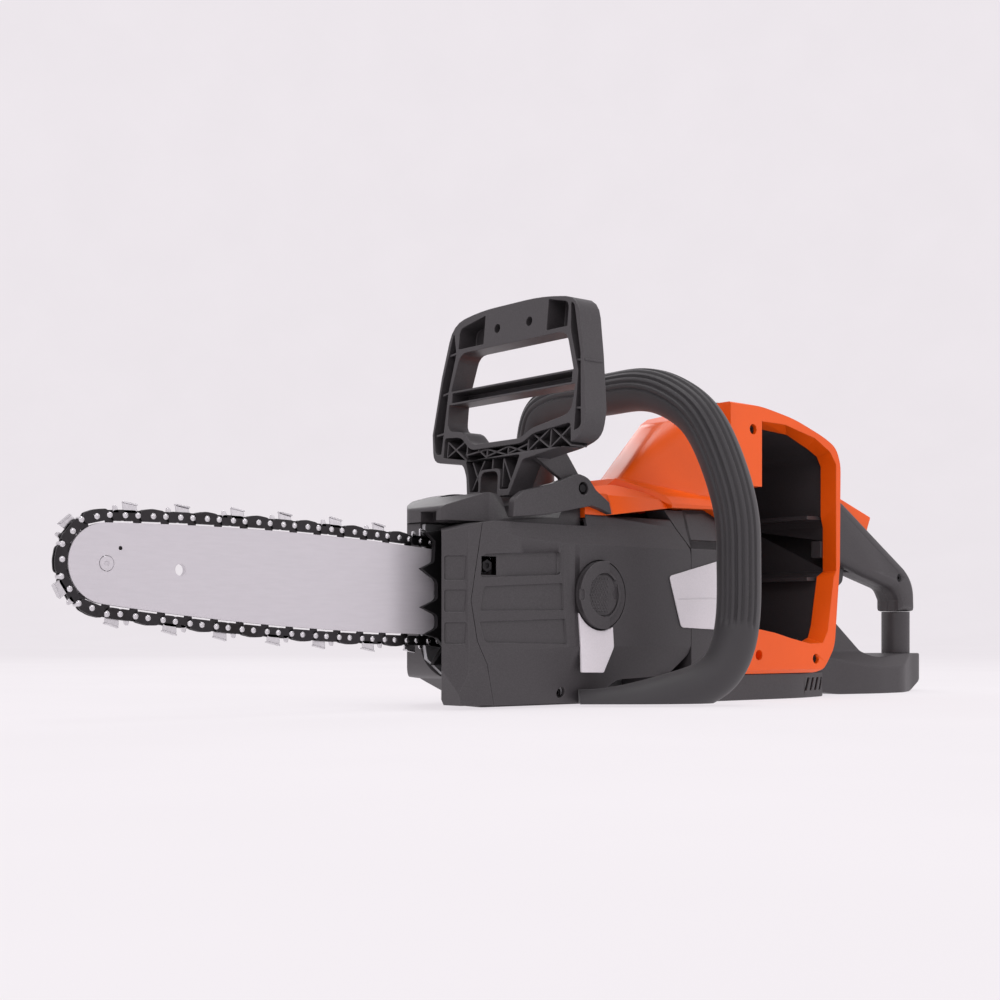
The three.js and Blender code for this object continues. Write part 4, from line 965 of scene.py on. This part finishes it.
# ------------------------------------------------------------------ stage, in metres
FLOOR_RADIUS = 5.0
BEND_RADIUS = 3.0
BEND_STEPS = 16
WALL_HEIGHT = 9.0
LIGHTS = [  # name, place, target, width, watts
    ("overhead", (0.1, -0.1, 2.2), (0.05, 0, 0.1), 1.2, 24),
    ("key_left", (-1.9, -1.3, 1.5), (0, 0, 0.12), 0.8, 8),
    ("fill_right", (1.3, -2.0, 0.9), (0.15, 0, 0.1), 1.0, 3),
    ("rim_back", (0.9, 1.9, 1.5), (0.1, 0, 0.15), 0.9, 7),
]
CAMERA_AT = (-0.7784, -0.9008, 0.0522)
CAMERA_HEADING = math.radians(-39.9)


def backdrop():
    """Pale floor that curves up into a wall far away on every side."""
    bm = bmesh.new()
    profile = [(0.0, 0.0), (2.0, 0.0), (FLOOR_RADIUS, 0.0)]
    for i in range(1, BEND_STEPS + 1):
        angle = math.pi / 2 * i / BEND_STEPS
        out = FLOOR_RADIUS + BEND_RADIUS * math.sin(angle)
        profile.append((out, BEND_RADIUS * (1 - math.cos(angle))))
    profile.append((FLOOR_RADIUS + BEND_RADIUS, WALL_HEIGHT))
    verts = [bm.verts.new((r, 0, z)) for r, z in profile]
    for a, b in zip(verts, verts[1:]):
        bm.edges.new((a, b))
    bmesh.ops.spin(bm, geom=bm.verts[:] + bm.edges[:], cent=(0, 0, 0), axis=(0, 0, 1),
                   angle=2 * math.pi, steps=96, use_merge=True)
    bmesh.ops.remove_doubles(bm, verts=bm.verts, dist=MERGE_DISTANCE * 10)
    bmesh.ops.recalc_face_normals(bm, faces=bm.faces)
    floor = make("backdrop", bm, scale=1)
    floor.data.shade_smooth()
    material, tree, shader, coords = base_material("backdrop", 0.9, Specular_IOR_Level=0.0)
    tone = ramp(tree, noise(tree, coords, 3, 3), 0.3, 0.7, grey(0.17), grey(0.19))
    tree.links.new(tone, shader.inputs["Base Color"])
    shader.inputs["Emission Color"].default_value = linear((246, 240, 245))
    shader.inputs["Emission Strength"].default_value = 0.78
    floor.data.materials.append(material)


def light(name, place_at, target, size, power):
    """Square area light aimed at a point."""
    data = bpy.data.lights.new(name, "AREA")
    data.size = size
    data.energy = power
    lamp = bpy.data.objects.new(name, data)
    lamp.location = place_at
    lamp.rotation_euler = (Vector(target) - Vector(place_at)).to_track_quat("-Z", "Y").to_euler()
    bpy.context.scene.collection.objects.link(lamp)


def studio():
    """Soft lights, neutral colour handling and a pale sky."""
    for lamp in LIGHTS:
        light(*lamp)
    bpy.context.scene.view_settings.view_transform = "Standard"
    world = bpy.data.worlds.new("studio")
    world.use_nodes = True
    surface = world.node_tree.nodes["Background"]
    surface.inputs["Color"].default_value = linear((244, 240, 245))
    surface.inputs["Strength"].default_value = 0.28
    bpy.context.scene.world = world


def camera():
    """Level view from low in front of the cover side."""
    data = bpy.data.cameras.new("camera")
    data.lens = 57.6
    data.sensor_width = 36
    data.shift_y = 0.135
    data.clip_start = 0.01
    view = bpy.data.objects.new("camera", data)
    view.location = CAMERA_AT
    view.rotation_euler = (math.radians(90), 0, CAMERA_HEADING)
    bpy.context.scene.collection.objects.link(view)
    bpy.context.scene.camera = view


# ------------------------------------------------------------------ build
saw_chain()
bar_parts()
drive_cover()
knob()
bumper()
hand_guard()
front_handle()
orange_parts()
battery_bay()
sill_and_base()
rear_side_panel()
rear_handle()
remaining_pieces()
backdrop()
studio()
camera()
